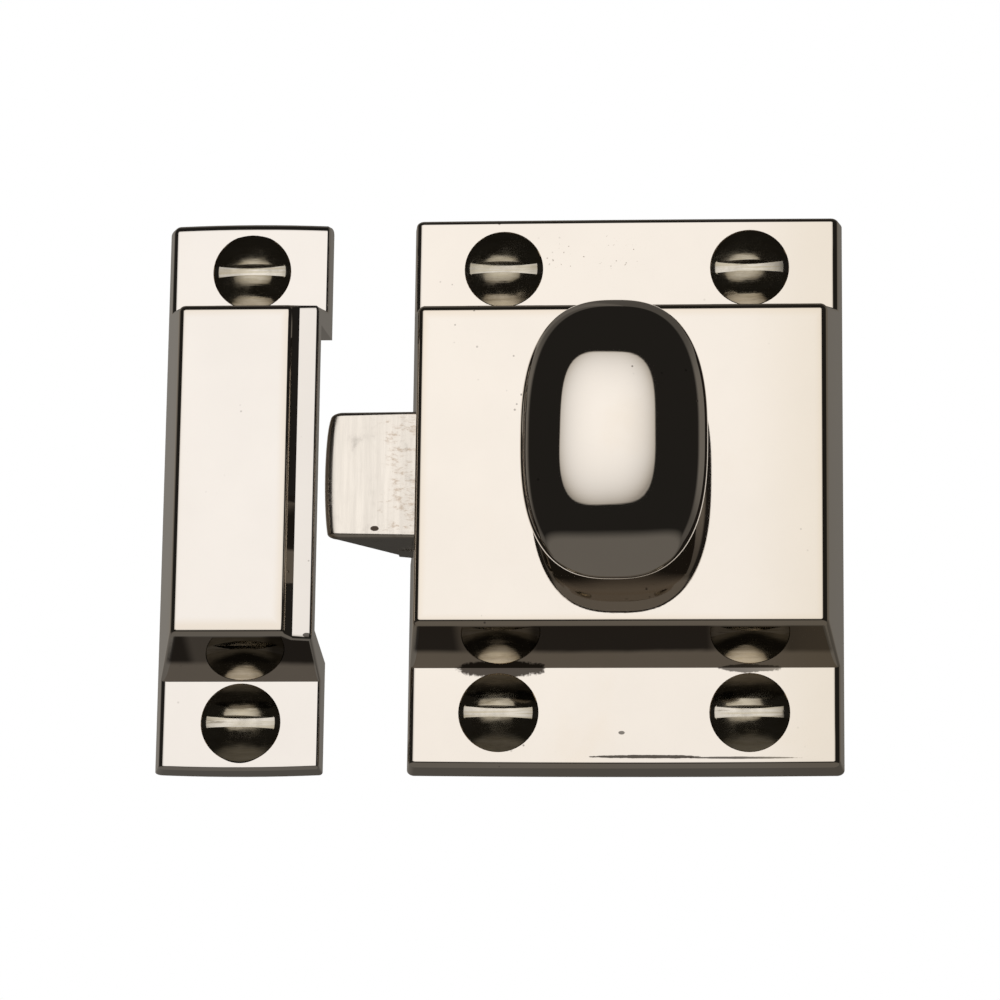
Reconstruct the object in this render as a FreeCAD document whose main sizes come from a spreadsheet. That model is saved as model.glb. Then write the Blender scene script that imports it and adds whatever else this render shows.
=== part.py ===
import FreeCAD, Part
import math
import os

import Sketcher
from FreeCAD import Placement, Rotation, Vector

# Cupboard catch latch: a surface-mounted case with a turn knob and a bevelled
# spring bolt, and the keeper that the bolt snaps behind.
# Millimetres. +X points right and +Z up when the catch is seen from the front.
# The front faces -Y. The origin is where the knob's axis meets the mounting plane.
# Inside each body, the local z axis is the height in front of the mounting plane.

DOC = FreeCAD.newDocument("cupboard_catch_latch")

SIZES = {
    "case_width": (43.4, "case, side to side at the mounting plane"),
    "plate_length": (57.2, "case and keeper, top to bottom at the mounting plane"),
    "flange_thickness": (3.6, "end flanges of the case and the keeper"),
    "raised_height": (13.5, "raised front face above the mounting plane"),
    "side_inset": (1.55, "draft of the case's sides over the raised height"),
    "end_inset": (0.6, "draft of the end flanks over the flange"),
    "case_flange": (10.3, "length of the case's end flanges at the mounting plane"),
    "case_rise_slope": (2.3, "slope of the raised part's ends, from the flange to the front"),
    "rise_upper_extra": (0.2, "case's raised part, its upper end further out than the lower one"),
    "edge_round": (0.35, "rounding of the cast outer edges"),
    "front_wall": (3.6, "wall of the case in front of the bolt"),
    "side_wall": (3.5, "side walls of the case at the mounting plane"),
    "end_wall": (1.5, "end walls of the cavity at the case's front face"),
    "cavity_corner": (1.5, "corner radius of the cavity"),
    "cover_thickness": (1.2, "back plate"),
    "cover_margin": (1.7, "rebate of the back plate round the cavity"),
    "rebate_play": (0.1, "clearance round the back plate"),
    "cover_corner": (2.5, "corner radius of the back plate and its rebate"),
    "cover_screw_inset": (2.4, "back plate screws, from the cavity's side walls"),
    "cover_screw_end_inset": (2.5, "back plate screws, from the cavity's end walls"),
    "cover_boss_radius": (2.8, "cast bosses that take the back plate screws"),
    "cover_screw_radius": (1.25, "back plate screws, shank"),
    "cover_screw_head": (2.2, "back plate screws, head radius"),
    "cover_screw_length": (6.0, "back plate screws, with the head"),
    "cover_slot_width": (0.6, "slot of the small screws"),
    "mount_screw_across": (12.4, "case screws, from the knob's axis across"),
    "mount_screw_inset": (5.8, "case screws, from the case's ends at the mounting plane"),
    "mount_screw_head": (3.92, "wood screw, head radius"),
    "mount_screw_dome": (1.15, "wood screw, raised part of the head"),
    "mount_screw_neck": (2.3, "wood screw, neck radius inside the flange"),
    "mount_screw_shank": (2.1, "wood screw, smooth shank radius behind the flange"),
    "mount_screw_smooth": (6.2, "wood screw, head face to the end of the smooth shank"),
    "mount_screw_core": (1.4, "wood screw, core radius below the thread"),
    "mount_screw_point": (3.2, "wood screw, length of the point"),
    "mount_screw_length": (19.0, "wood screw, head face to point"),
    "mount_slot_width": (1.2, "wood screw, slot width"),
    "mount_slot_depth": (1.45, "wood screw, slot depth below the top of the head"),
    "screw_hole_play": (0.15, "clearance round the wood screw's neck"),
    "fixed_play": (0.03, "clearance between pieces that are fixed together"),
    "running_play": (0.06, "radial clearance of the turning fits"),
    "sliding_play": (0.1, "clearance of the sliding bolt"),
    "bolt_throw": (7.45, "case's side at the mounting plane to the tip of the thrown bolt"),
    "bolt_half_height": (6.45, "half height of the bolt's head"),
    "bolt_face_depth": (0.05, "bolt's front face below the cavity's ceiling play"),
    "bolt_tip_land": (0.45, "thickness of the bolt at its tip"),
    "bolt_bevel_angle": (49.0, "slope of the bevel on the back of the bolt"),
    "bolt_head_room": (0.94, "drawn bolt's head to the cam's hub"),
    "bolt_foot_out": (1.0, "case's side at the mounting plane to the outer end of the bolt's foot"),
    "bolt_foot_half_height": (6.9, "half height of the bolt's foot in the case's notch"),
    "bolt_tail_thickness": (3.0, "plate of the bolt behind the cam"),
    "follower_reach": (1.2, "bolt's tail past the line where the cam pushes it"),
    "bolt_end_room": (1.34, "tail of the drawn bolt to the case's wall"),
    "tail_front_drop": (0.3, "cavity's ceiling to the front of the crossbar"),
    "bolt_edge_round": (0.4, "rounding of the bolt's head"),
    "travel_radius": (7.6, "base radius of the cam's involute, the bolt's travel per radian"),
    "turn_angle": (60.0, "turn of the knob that draws the bolt in"),
    "roll_start": (0.22, "roll of the involute at rest, in radians"),
    "follower_play": (0.13, "gap between the cam and the crossbar"),
    "travel_margin": (0.3, "bolt slot past the travel"),
    "cam_thickness": (4.2, "cam's disc"),
    "cam_hub_radius": (4.6, "hub of the cam"),
    "hub_room": (0.4, "clearance of the crossbar round the cam's hub"),
    "cam_lobe_width": (4.2, "width of the cam's lobe at its root"),
    "cam_tip_width": (2.0, "width of the cam's lobe at its tip"),
    "sleeve_radius": (3.6, "cam's sleeve, which turns in the back plate"),
    "sleeve_back": (0.2, "end of the cam's sleeve above the mounting plane"),
    "spindle_radius": (3.4, "spindle in the case's bore"),
    "spindle_square": (4.0, "square of the spindle in the cam"),
    "spindle_end": (2.7, "end of the spindle above the mounting plane"),
    "spindle_shoulder_gap": (0.12, "shoulder of the knob above the case's face"),
    "spigot_radius": (2.3, "spindle's spigot in the knob"),
    "spigot_length": (6.0, "spindle's spigot in the knob"),
    "washer_thickness": (0.6, "washer between the cam and the case"),
    "washer_play": (0.05, "clearance on each side of that washer"),
    "washer_radius": (4.7, "outer radius of that washer"),
    "cam_screw_head": (2.6, "cam screw, head radius"),
    "cam_screw_radius": (1.4, "cam screw, shank"),
    "cam_screw_length": (6.0, "cam screw, with its head"),
    "cam_slot_width": (0.7, "cam screw, slot width"),
    "spring_seat_web": (1.3, "crossbar between the hub's relief and the spring's bore"),
    "spring_bore_radius": (3.3, "spring's bore in the bolt's crossbar"),
    "spring_mean_radius": (2.6, "spring, axis of the wire"),
    "spring_wire_radius": (0.28, "spring wire"),
    "spring_turns": (5.0, "spring, number of turns"),
    "spring_end_play": (0.02, "spring's ends to their seats"),
    "spring_peg_radius": (1.8, "cast peg inside the spring"),
    "spring_peg_length": (1.4, "cast peg inside the spring"),
    "knob_half_width": (9.05, "half width of the knob"),
    "knob_half_height": (13.75, "half height of the knob"),
    "knob_side_angle": (9.0, "half the angle that each side arc of the knob's oval spans"),
    "knob_shift_left": (0.35, "casting of the knob, its oval to the left of the neck"),
    "knob_shift_up": (0.55, "casting of the knob, its oval above the neck"),
    "knob_rim_height": (7.95, "widest part of the knob above the case's face"),
    "knob_dome": (4.6, "dome of the knob above its rim"),
    "knob_neck_radius": (4.6, "neck of the knob at the case's face"),
    "keeper_width": (16.8, "keeper, side to side"),
    "keeper_gap": (0.95, "tip of the thrown bolt to the keeper"),
    "keeper_side_inset": (3.0, "slope of the keeper's outer side over the raised height"),
    "keeper_flange": (9.5, "length of the keeper's end flanges at the mounting plane"),
    "keeper_rise_slope": (2.7, "slope of the raised part's ends, from the flange to the front"),
    "lip_width": (2.75, "keeper's striking lip, with the shoulder that leads down to it"),
    "lip_shoulder_width": (0.85, "shoulder between the keeper's face and its lip"),
    "lip_shoulder_drop": (0.6, "fall of that shoulder"),
    "lip_drop": (0.3, "fall of the lip to its edge"),
    "lip_break_radius": (0.8, "rounding between the keeper's face and the shoulder"),
    "pocket_end_wall": (2.6, "end walls of the keeper's pocket at the flange"),
    "lip_clearance": (0.1, "keeper's lip in front of the bolt's ceiling"),
    "pocket_wall": (2.2, "outer wall of the keeper's pocket at the back"),
    "pocket_draft": (7.0, "draft of the pocket's walls, in degrees"),
    "keeper_screw_inset": (5.35, "keeper screws, from the keeper's ends at the mounting plane"),
    "keeper_screw_shift": (0.5, "keeper screws, from the keeper's middle towards the case"),
}


class Size:
    """A formula of the sheet's cells, with its present value."""

    def __init__(self, text, value):
        self.text = text
        self.value = value

    def joined(self, sign, other, value):
        return Size(f"({self.text} {sign} {other.text})", value)

    def __add__(self, other):
        other = as_size(other)
        return self.joined("+", other, self.value + other.value)

    def __sub__(self, other):
        other = as_size(other)
        return self.joined("-", other, self.value - other.value)

    def __mul__(self, other):
        other = as_size(other)
        return self.joined("*", other, self.value * other.value)

    def __truediv__(self, other):
        other = as_size(other)
        return self.joined("/", other, self.value / other.value)

    def __neg__(self):
        return Size("0", 0.0) - self


def as_size(value):
    return value if isinstance(value, Size) else Size(str(value), float(value))


def of_angle(function, name, size):
    return Size(f"{name}({size.text} * 1 deg)", function(math.radians(size.value)))


def sine(size):
    return of_angle(math.sin, "sin", size)


def cosine(size):
    return of_angle(math.cos, "cos", size)


def tangent(size):
    return of_angle(math.tan, "tan", size)


class Sheet:
    """The spreadsheet of driving dimensions; each cell is read as a Size."""

    def __init__(self, name, sizes):
        self.sheet = DOC.addObject("Spreadsheet::Sheet", name)
        for row, (alias, (value, meaning)) in enumerate(sizes.items(), start=1):
            self.sheet.set(f"A{row}", alias)
            self.sheet.set(f"B{row}", str(value))
            self.sheet.set(f"C{row}", meaning)
            self.sheet.setAlias(f"B{row}", alias)
            setattr(self, alias, Size(f"{name}.{alias}", value))
        DOC.recompute()


s = Sheet("Sizes", SIZES)
ZERO = as_size(0)
UPRIGHT = Rotation(Vector(1, 0, 0), 90)
PAST = as_size(2)

# Places and sizes that several pieces share, worked out from the sheet.
CASE_HALF_WIDTH = s.case_width / 2
HALF_LENGTH = s.plate_length / 2
CASE_RISE_FOOT = HALF_LENGTH - s.case_flange
CASE_RISE_TOP = CASE_RISE_FOOT - s.case_rise_slope
CAVITY_HALF_WIDTH = CASE_HALF_WIDTH - s.side_wall
CAVITY_HALF_LENGTH = CASE_RISE_TOP - s.end_wall
CEILING = s.raised_height - s.front_wall
COVER_SCREW_ACROSS = CAVITY_HALF_WIDTH - s.cover_screw_inset
COVER_SCREW_ALONG = CAVITY_HALF_LENGTH - s.cover_screw_end_inset
CASE_SCREW_ALONG = HALF_LENGTH - s.mount_screw_inset

TRAVEL = s.travel_radius * s.turn_angle * (math.pi / 180)
BOLT_TIP = CASE_HALF_WIDTH + s.bolt_throw
BOLT_FOOT = CASE_HALF_WIDTH + s.bolt_foot_out
BOLT_FRONT = CEILING - s.sliding_play - s.bolt_face_depth
BOLT_BACK = s.cover_thickness + s.sliding_play
TAIL_FRONT = BOLT_BACK + s.bolt_tail_thickness
TAIL_REACH = s.travel_radius + s.follower_reach
TAIL_END = CAVITY_HALF_WIDTH - TRAVEL - s.bolt_end_room
HEAD_END = TRAVEL + s.cam_hub_radius + s.bolt_head_room
CROSSBAR_FRONT = CEILING - s.tail_front_drop
# The crossbar's face at rest, just clear of the cam's involute.
FOLLOWER = s.travel_radius * s.roll_start + s.follower_play

CAM_FRONT = CEILING - s.washer_thickness - s.washer_play * 2
CAM_BACK = CAM_FRONT - s.cam_thickness
HUB_RELIEF = s.cam_hub_radius + s.hub_room
KNOB_FOOT = s.raised_height + s.spindle_shoulder_gap

SPRING_SEAT = HUB_RELIEF + s.spring_seat_web
SPRING_HEIGHT = (BOLT_BACK + CROSSBAR_FRONT) / 2

KEEPER_MIDDLE = -(BOLT_TIP + s.keeper_gap + s.keeper_width / 2)
KEEPER_RISE_FOOT = HALF_LENGTH - s.keeper_flange
KEEPER_RISE_TOP = KEEPER_RISE_FOOT - s.keeper_rise_slope
KEEPER_SCREW_ALONG = HALF_LENGTH - s.keeper_screw_inset
POCKET_HALF_LENGTH = KEEPER_RISE_FOOT - s.pocket_end_wall
POCKET_HEIGHT = CEILING + s.lip_clearance


def bind(target, path, size):
    target.setExpression(path, as_size(size).text)


def new_body(label, base=(ZERO, ZERO, ZERO), turn=UPRIGHT):
    body = DOC.addObject("PartDesign::Body", label)
    body.Label = label
    body.Placement = Placement(Vector(0, 0, 0), turn)
    for axis, size in zip("xyz", base):
        bind(body, f"Placement.Base.{axis}", size)
    return body


def new_sketch(body, plane, name, level=ZERO):
    sketch = body.newObject("Sketcher::SketchObject", name)
    support = next(item for item in body.Origin.OriginFeatures if item.Role == plane)
    sketch.AttachmentSupport = [(support, "")]
    sketch.MapMode = "FlatFace"
    bind(sketch, "AttachmentOffset.Base.z", level)
    return sketch


def hold(sketch, curve, point, place):
    """Ties a point of a curve to its place, measured from the sketch's origin."""
    for kind, size in zip(("DistanceX", "DistanceY"), place):
        if size is None:
            continue
        size = as_size(size)
        rule = Sketcher.Constraint(kind, -1, 1, curve, point, size.value)
        index = sketch.addConstraint(rule)
        bind(sketch, f"Constraints[{index}]", size)


def set_radius(sketch, curve, radius):
    radius = as_size(radius)
    index = sketch.addConstraint(Sketcher.Constraint("Radius", curve, radius.value))
    bind(sketch, f"Constraints[{index}]", radius)


def vector(place):
    return Vector(as_size(place[0]).value, as_size(place[1]).value, 0)


def close_loop(sketch, first, count):
    for index in range(count):
        following = first + (index + 1) % count
        sketch.addConstraint(Sketcher.Constraint("Coincident", first + index, 2, following, 1))


def add_outline(sketch, corners):
    """A closed outline with straight sides."""
    first = sketch.GeometryCount
    for index, corner in enumerate(corners):
        following = corners[(index + 1) % len(corners)]
        sketch.addGeometry(Part.LineSegment(vector(corner), vector(following)))
    close_loop(sketch, first, len(corners))
    for index, corner in enumerate(corners):
        hold(sketch, first + index, 1, corner)


def add_box(sketch, left, right, low, high):
    add_outline(sketch, [(left, low), (right, low), (right, high), (left, high)])


def add_circle(sketch, place, radius):
    radius = as_size(radius)
    curve = sketch.addGeometry(Part.Circle(vector(place), Vector(0, 0, 1), radius.value))
    hold(sketch, curve, 3, place)
    set_radius(sketch, curve, radius)


def add_slot(sketch, left, right, radius):
    """A slot along the sketch's first axis with half-round ends."""
    first = sketch.GeometryCount
    reach = as_size(radius).value
    start, stop = as_size(left).value, as_size(right).value
    upward = Vector(0, 0, 1)
    sketch.addGeometry(Part.LineSegment(Vector(start, -reach, 0), Vector(stop, -reach, 0)))
    end = Part.Circle(Vector(stop, 0, 0), upward, reach)
    sketch.addGeometry(Part.ArcOfCircle(end, -math.pi / 2, math.pi / 2))
    sketch.addGeometry(Part.LineSegment(Vector(stop, reach, 0), Vector(start, reach, 0)))
    end = Part.Circle(Vector(start, 0, 0), upward, reach)
    sketch.addGeometry(Part.ArcOfCircle(end, math.pi / 2, 3 * math.pi / 2))
    close_loop(sketch, first, 4)
    hold(sketch, first, 1, (left, -radius))
    hold(sketch, first, 2, (right, -radius))
    hold(sketch, first + 2, 1, (right, radius))
    hold(sketch, first + 2, 2, (left, radius))
    hold(sketch, first + 1, 3, (right, None))
    hold(sketch, first + 3, 3, (left, None))


def volume(feature):
    return feature.Shape.Volume if feature is not None else 0.0


def checked(body, feature, before, grows):
    """Recomputes, and makes sure that the feature added or took away material."""
    DOC.recompute()
    change = volume(feature) - before
    if (change > 0) != grows or abs(change) < 1e-6:
        raise RuntimeError(f"{body.Label}: {feature.Name} changes the volume by {change}")
    return feature


def pad(body, sketch, length, symmetric=False, downward=False):
    before = volume(body.Tip)
    feature = body.newObject("PartDesign::Pad", sketch.Name + "_pad")
    feature.Profile = sketch
    feature.SideType = "Symmetric" if symmetric else "One side"
    feature.Reversed = downward
    bind(feature, "Length", length)
    return checked(body, feature, before, grows=True)


def pocket(body, sketch, depth, upward=True, symmetric=False, taper=None):
    """Cuts along the sketch's normal when upward, against it when not."""
    before = volume(body.Tip)
    feature = body.newObject("PartDesign::Pocket", sketch.Name + "_pocket")
    feature.Profile = sketch
    feature.SideType = "Symmetric" if symmetric else "One side"
    feature.Reversed = upward
    bind(feature, "Length", depth)
    if taper is not None:
        bind(feature, "TaperAngle", taper)
    return checked(body, feature, before, grows=False)


def edges_where(shape, wanted):
    names = []
    for index, edge in enumerate(shape.Edges, start=1):
        if wanted(edge):
            names.append(f"Edge{index}")
    return names


def dress(body, kind, wanted, size, name):
    """A Fillet or Chamfer on the edges of the body's last feature that are wanted."""
    base = body.Tip
    names = edges_where(base.Shape, wanted)
    if not names:
        raise RuntimeError(f"{body.Label}: no edge for {name}")
    feature = body.newObject("PartDesign::" + kind, name)
    feature.Base = (base, names)
    bind(feature, "Radius" if kind == "Fillet" else "Size", size)
    DOC.recompute()
    return feature


def is_ring_at(edge, height, radius):
    """A full circle about the local z direction with this height and radius."""
    box = edge.BoundBox
    level = box.ZLength < 1e-4 and abs(box.ZMin - height.value) < 1e-4
    return level and abs(edge.Length - 2 * math.pi * radius.value) < 1e-3


def corner_signs():
    for side in (-1, 1):
        for end in (-1, 1):
            yield side, end


def raised_blank(body, half_width, rise_foot, rise_top, upper_extra):
    """The cast outline seen from the side: two flanges and the raised middle."""
    profile = new_sketch(body, "YZ_Plane", body.Label + "_side_profile")
    upper = [
        (HALF_LENGTH, ZERO),
        (HALF_LENGTH - s.end_inset, s.flange_thickness),
        (rise_foot, s.flange_thickness),
        (rise_top, s.raised_height),
    ]
    lower = [(-along, height) for along, height in reversed(upper)]
    upper[2] = (rise_foot + upper_extra, s.flange_thickness)
    upper[3] = (rise_top + upper_extra, s.raised_height)
    add_outline(profile, upper + lower)
    return pad(body, profile, half_width * 2, symmetric=True)


def trim_sides(body, name, half_width, left_inset, right_inset):
    """Cuts the left and right sides to their draft."""
    sketch = new_sketch(body, "XZ_Plane", name)
    top = s.raised_height + PAST
    share = top / s.raised_height
    for sign, inset in ((-1, left_inset), (1, right_inset)):
        if inset is None:
            continue
        add_outline(sketch, [
            (half_width * sign, ZERO),
            ((half_width + PAST) * sign, ZERO),
            ((half_width + PAST) * sign, top),
            ((half_width - inset * share) * sign, top),
        ])
    return pocket(body, sketch, s.plate_length + PAST, symmetric=True)


def is_raised_foot(edge, rise_foot, upper_extra):
    """The inner corner where a flange meets the raised part."""
    box = edge.BoundBox
    level = abs(box.ZMin - s.flange_thickness.value) + abs(box.ZMax - s.flange_thickness.value)
    reach = box.Center.y - upper_extra.value if box.Center.y > 0 else -box.Center.y
    return level < 1e-3 and abs(reach - rise_foot.value) < 1e-3


def is_case_edge(edge):
    """The case's outer edges, without those on the mounting plane."""
    return edge.BoundBox.ZMax > 1e-3 and not is_raised_foot(edge, CASE_RISE_FOOT, s.rise_upper_extra)


def make_case():
    body = new_body("case")
    raised_blank(body, CASE_HALF_WIDTH, CASE_RISE_FOOT, CASE_RISE_TOP, s.rise_upper_extra)
    trim_sides(body, "case_draft", CASE_HALF_WIDTH, s.side_inset, s.side_inset)
    dress(body, "Fillet", is_case_edge, s.edge_round, "case_edges")

    cavity = new_sketch(body, "XY_Plane", "cavity")
    add_box(cavity, -CAVITY_HALF_WIDTH, CAVITY_HALF_WIDTH,
            -CAVITY_HALF_LENGTH, CAVITY_HALF_LENGTH)
    pocket(body, cavity, CEILING)
    rebate = new_sketch(body, "XY_Plane", "cover_rebate")
    rebate_x = CAVITY_HALF_WIDTH + s.cover_margin
    rebate_y = CAVITY_HALF_LENGTH + s.cover_margin
    add_box(rebate, -rebate_x, rebate_x, -rebate_y, rebate_y)
    pocket(body, rebate, s.cover_thickness)

    def is_rebate_corner(edge):
        box = edge.BoundBox
        reach = box.XLength + box.YLength < 1e-3
        return reach and abs(abs(edge.CenterOfMass.x) - rebate_x.value) < 1e-3

    def is_cavity_corner(edge):
        box = edge.BoundBox
        reach = box.XLength + box.YLength < 1e-3
        return reach and abs(abs(edge.CenterOfMass.x) - CAVITY_HALF_WIDTH.value) < 1e-3

    dress(body, "Fillet", is_rebate_corner, s.cover_corner, "rebate_corners")
    dress(body, "Fillet", is_cavity_corner, s.cavity_corner, "cavity_corners")

    bosses = new_sketch(body, "XY_Plane", "cover_bosses", s.cover_thickness)
    holes = new_sketch(body, "XY_Plane", "cover_screw_holes", s.cover_thickness)
    for side, end in corner_signs():
        place = (COVER_SCREW_ACROSS * side, COVER_SCREW_ALONG * end)
        add_circle(bosses, place, s.cover_boss_radius)
        add_circle(holes, place, s.cover_screw_radius + s.fixed_play)
    pad(body, bosses, CEILING - s.cover_thickness + s.front_wall / 2)
    pocket(body, holes, s.cover_screw_length)

    # The notch that the bolt slides in is wider where the bolt's foot runs.
    foot_notch = new_sketch(body, "XY_Plane", "bolt_foot_notch")
    notch_out = -(CASE_HALF_WIDTH + PAST)
    notch_in = -(CAVITY_HALF_WIDTH - s.cavity_corner)
    foot_reach = s.bolt_foot_half_height + s.sliding_play
    add_box(foot_notch, notch_out, notch_in, -foot_reach, foot_reach)
    pocket(body, foot_notch, TAIL_FRONT + s.sliding_play)
    head_notch = new_sketch(body, "XY_Plane", "bolt_head_notch")
    head_reach = s.bolt_half_height + s.sliding_play
    add_box(head_notch, notch_out, notch_in, -head_reach, head_reach)
    pocket(body, head_notch, CEILING)

    peg = new_sketch(body, "YZ_Plane", "spring_peg", CAVITY_HALF_WIDTH + PAST / 2)
    add_circle(peg, (ZERO, SPRING_HEIGHT), s.spring_peg_radius)
    pad(body, peg, s.spring_peg_length + PAST / 2, downward=True)

    bore = new_sketch(body, "XY_Plane", "spindle_bore")
    add_circle(bore, (ZERO, ZERO), s.spindle_radius + s.running_play)
    pocket(body, bore, s.raised_height + PAST)
    places = []
    for side, end in corner_signs():
        places.append((s.mount_screw_across * side, CASE_SCREW_ALONG * end))
    cut_screw_holes(body, places)
    return body


def cut_screw_holes(body, places):
    """Countersunk holes for the wood screws in a flange."""
    holes = new_sketch(body, "XY_Plane", body.Label + "_screw_holes")
    radius = s.mount_screw_neck + s.screw_hole_play
    for place in places:
        add_circle(holes, place, radius)
    pocket(body, holes, s.flange_thickness + PAST)
    sink = s.mount_screw_head + s.fixed_play * 2 - radius
    dress(body, "Chamfer", lambda edge: is_ring_at(edge, s.flange_thickness, radius),
          sink, body.Label + "_countersinks")


def make_back_plate():
    body = new_body("back_plate")
    half_x = CAVITY_HALF_WIDTH + s.cover_margin - s.rebate_play
    half_y = CAVITY_HALF_LENGTH + s.cover_margin - s.rebate_play
    plate = new_sketch(body, "XY_Plane", "back_plate_outline")
    add_box(plate, -half_x, half_x, -half_y, half_y)
    pad(body, plate, s.cover_thickness)

    def is_corner(edge):
        return edge.BoundBox.XLength + edge.BoundBox.YLength < 1e-3

    dress(body, "Fillet", is_corner, s.cover_corner - s.rebate_play, "back_plate_corners")
    bearing = new_sketch(body, "XY_Plane", "sleeve_bearing")
    add_circle(bearing, (ZERO, ZERO), s.sleeve_radius + s.running_play)
    pocket(body, bearing, s.cover_thickness + PAST)
    holes = new_sketch(body, "XY_Plane", "back_plate_holes")
    radius = s.cover_screw_radius + s.fixed_play
    for side, end in corner_signs():
        place = (COVER_SCREW_ACROSS * side, COVER_SCREW_ALONG * end)
        add_circle(holes, place, radius)
    pocket(body, holes, s.cover_thickness + PAST)
    sink = s.cover_screw_head + s.fixed_play - radius
    dress(body, "Chamfer", lambda edge: is_ring_at(edge, ZERO, radius), sink,
          "back_plate_countersinks")
    return body


def revolve(body, sketch):
    before = volume(body.Tip)
    feature = body.newObject("PartDesign::Revolution", sketch.Name + "_revolved")
    feature.Profile = sketch
    feature.ReferenceAxis = (sketch, ["V_Axis"])
    feature.Angle = 360
    return checked(body, feature, before, grows=True)


def make_flat_screw(label, head, shank, length, slot_width):
    """A countersunk slotted machine screw, its flat head at local z = 0, facing -z."""
    body = new_body(label)
    profile = new_sketch(body, "XZ_Plane", label + "_profile")
    add_outline(profile, [
        (ZERO, ZERO),
        (head, ZERO),
        (shank, head - shank),
        (shank, length - shank / 2),
        (shank / 2, length),
        (ZERO, length),
    ])
    revolve(body, profile)
    slot = new_sketch(body, "XY_Plane", label + "_slot")
    add_box(slot, -(head + PAST), head + PAST, -slot_width / 2, slot_width / 2)
    pocket(body, slot, slot_width)
    return body


def make_wood_screw(label):
    """A raised countersunk slotted wood screw, its head's rim at local z = 0."""
    body = new_body(label)
    head = s.mount_screw_head
    neck = s.mount_screw_neck
    shank = s.mount_screw_shank
    core = s.mount_screw_core
    dome = s.mount_screw_dome
    profile = new_sketch(body, "XZ_Plane", label + "_profile")
    below = [
        (head, ZERO),
        (neck, neck - head),
        (neck, -s.flange_thickness),
        (shank, -s.flange_thickness),
        (shank, -s.mount_screw_smooth),
        (core, shank * -1 + core - s.mount_screw_smooth),
        (core, s.mount_screw_point - s.mount_screw_length),
        (ZERO, -s.mount_screw_length),
        (ZERO, dome),
    ]
    for index in range(len(below) - 1):
        profile.addGeometry(Part.LineSegment(vector(below[index]), vector(below[index + 1])))
    # The raised head is a shallow dome from the axis to the rim.
    radius = (head * head + dome * dome) / (dome * 2)
    middle = Vector(0, dome.value - radius.value, 0)
    sweep = math.asin(head.value / radius.value)
    arc = Part.Circle(middle, Vector(0, 0, 1), radius.value)
    dome_curve = profile.addGeometry(Part.ArcOfCircle(arc, math.pi / 2 - sweep, math.pi / 2))
    for index in range(dome_curve - 1):
        profile.addConstraint(Sketcher.Constraint("Coincident", index, 2, index + 1, 1))
    profile.addConstraint(Sketcher.Constraint("Coincident", dome_curve, 1, 0, 1))
    profile.addConstraint(Sketcher.Constraint("Coincident", dome_curve, 2, dome_curve - 1, 2))
    for index in range(len(below) - 1):
        hold(profile, index, 1, below[index])
    hold(profile, dome_curve - 1, 2, below[-1])
    set_radius(profile, dome_curve, radius)
    revolve(body, profile)
    slot = new_sketch(body, "XY_Plane", label + "_slot", dome - s.mount_slot_depth)
    add_box(slot, -(head + PAST), head + PAST, -s.mount_slot_width / 2, s.mount_slot_width / 2)
    pocket(body, slot, s.mount_slot_depth + PAST)
    return body


def make_group(label, pattern, places):
    """Like pieces in one node: each link is a separate solid at its own place."""
    links = []
    for index, place in enumerate(places, start=1):
        link = DOC.addObject("App::Link", f"{label}_{index}")
        link.LinkedObject = pattern
        link.LinkTransform = False
        link.Placement = Placement(Vector(0, 0, 0), UPRIGHT)
        for axis, size in zip("xyz", place):
            bind(link, f"Placement.Base.{axis}", size)
        links.append(link)
    group = DOC.addObject("Part::Compound", label)
    group.Label = label
    group.Links = links
    DOC.recompute()
    return group


def make_screws():
    """The four small cover screws, and the wood screws of the case and the keeper."""
    small = make_flat_screw("cover_screw_pattern", s.cover_screw_head, s.cover_screw_radius,
                            s.cover_screw_length, s.cover_slot_width)
    wood = make_wood_screw("wood_screw_pattern")
    cover_places = []
    case_places = []
    for side, end in corner_signs():
        across, along = COVER_SCREW_ACROSS * side, COVER_SCREW_ALONG * end
        cover_places.append((across, ZERO, along))
        across, along = s.mount_screw_across * side, CASE_SCREW_ALONG * end
        case_places.append((across, -s.flange_thickness, along))
    keeper_places = []
    for end in (-1, 1):
        across = KEEPER_MIDDLE + s.keeper_screw_shift
        place = (across, -s.flange_thickness, KEEPER_SCREW_ALONG * end)
        keeper_places.append(place)
    return [
        make_group("back_plate_screws", small, cover_places),
        make_group("case_screws", wood, case_places),
        make_group("keeper_screws", wood, keeper_places),
    ]


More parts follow.
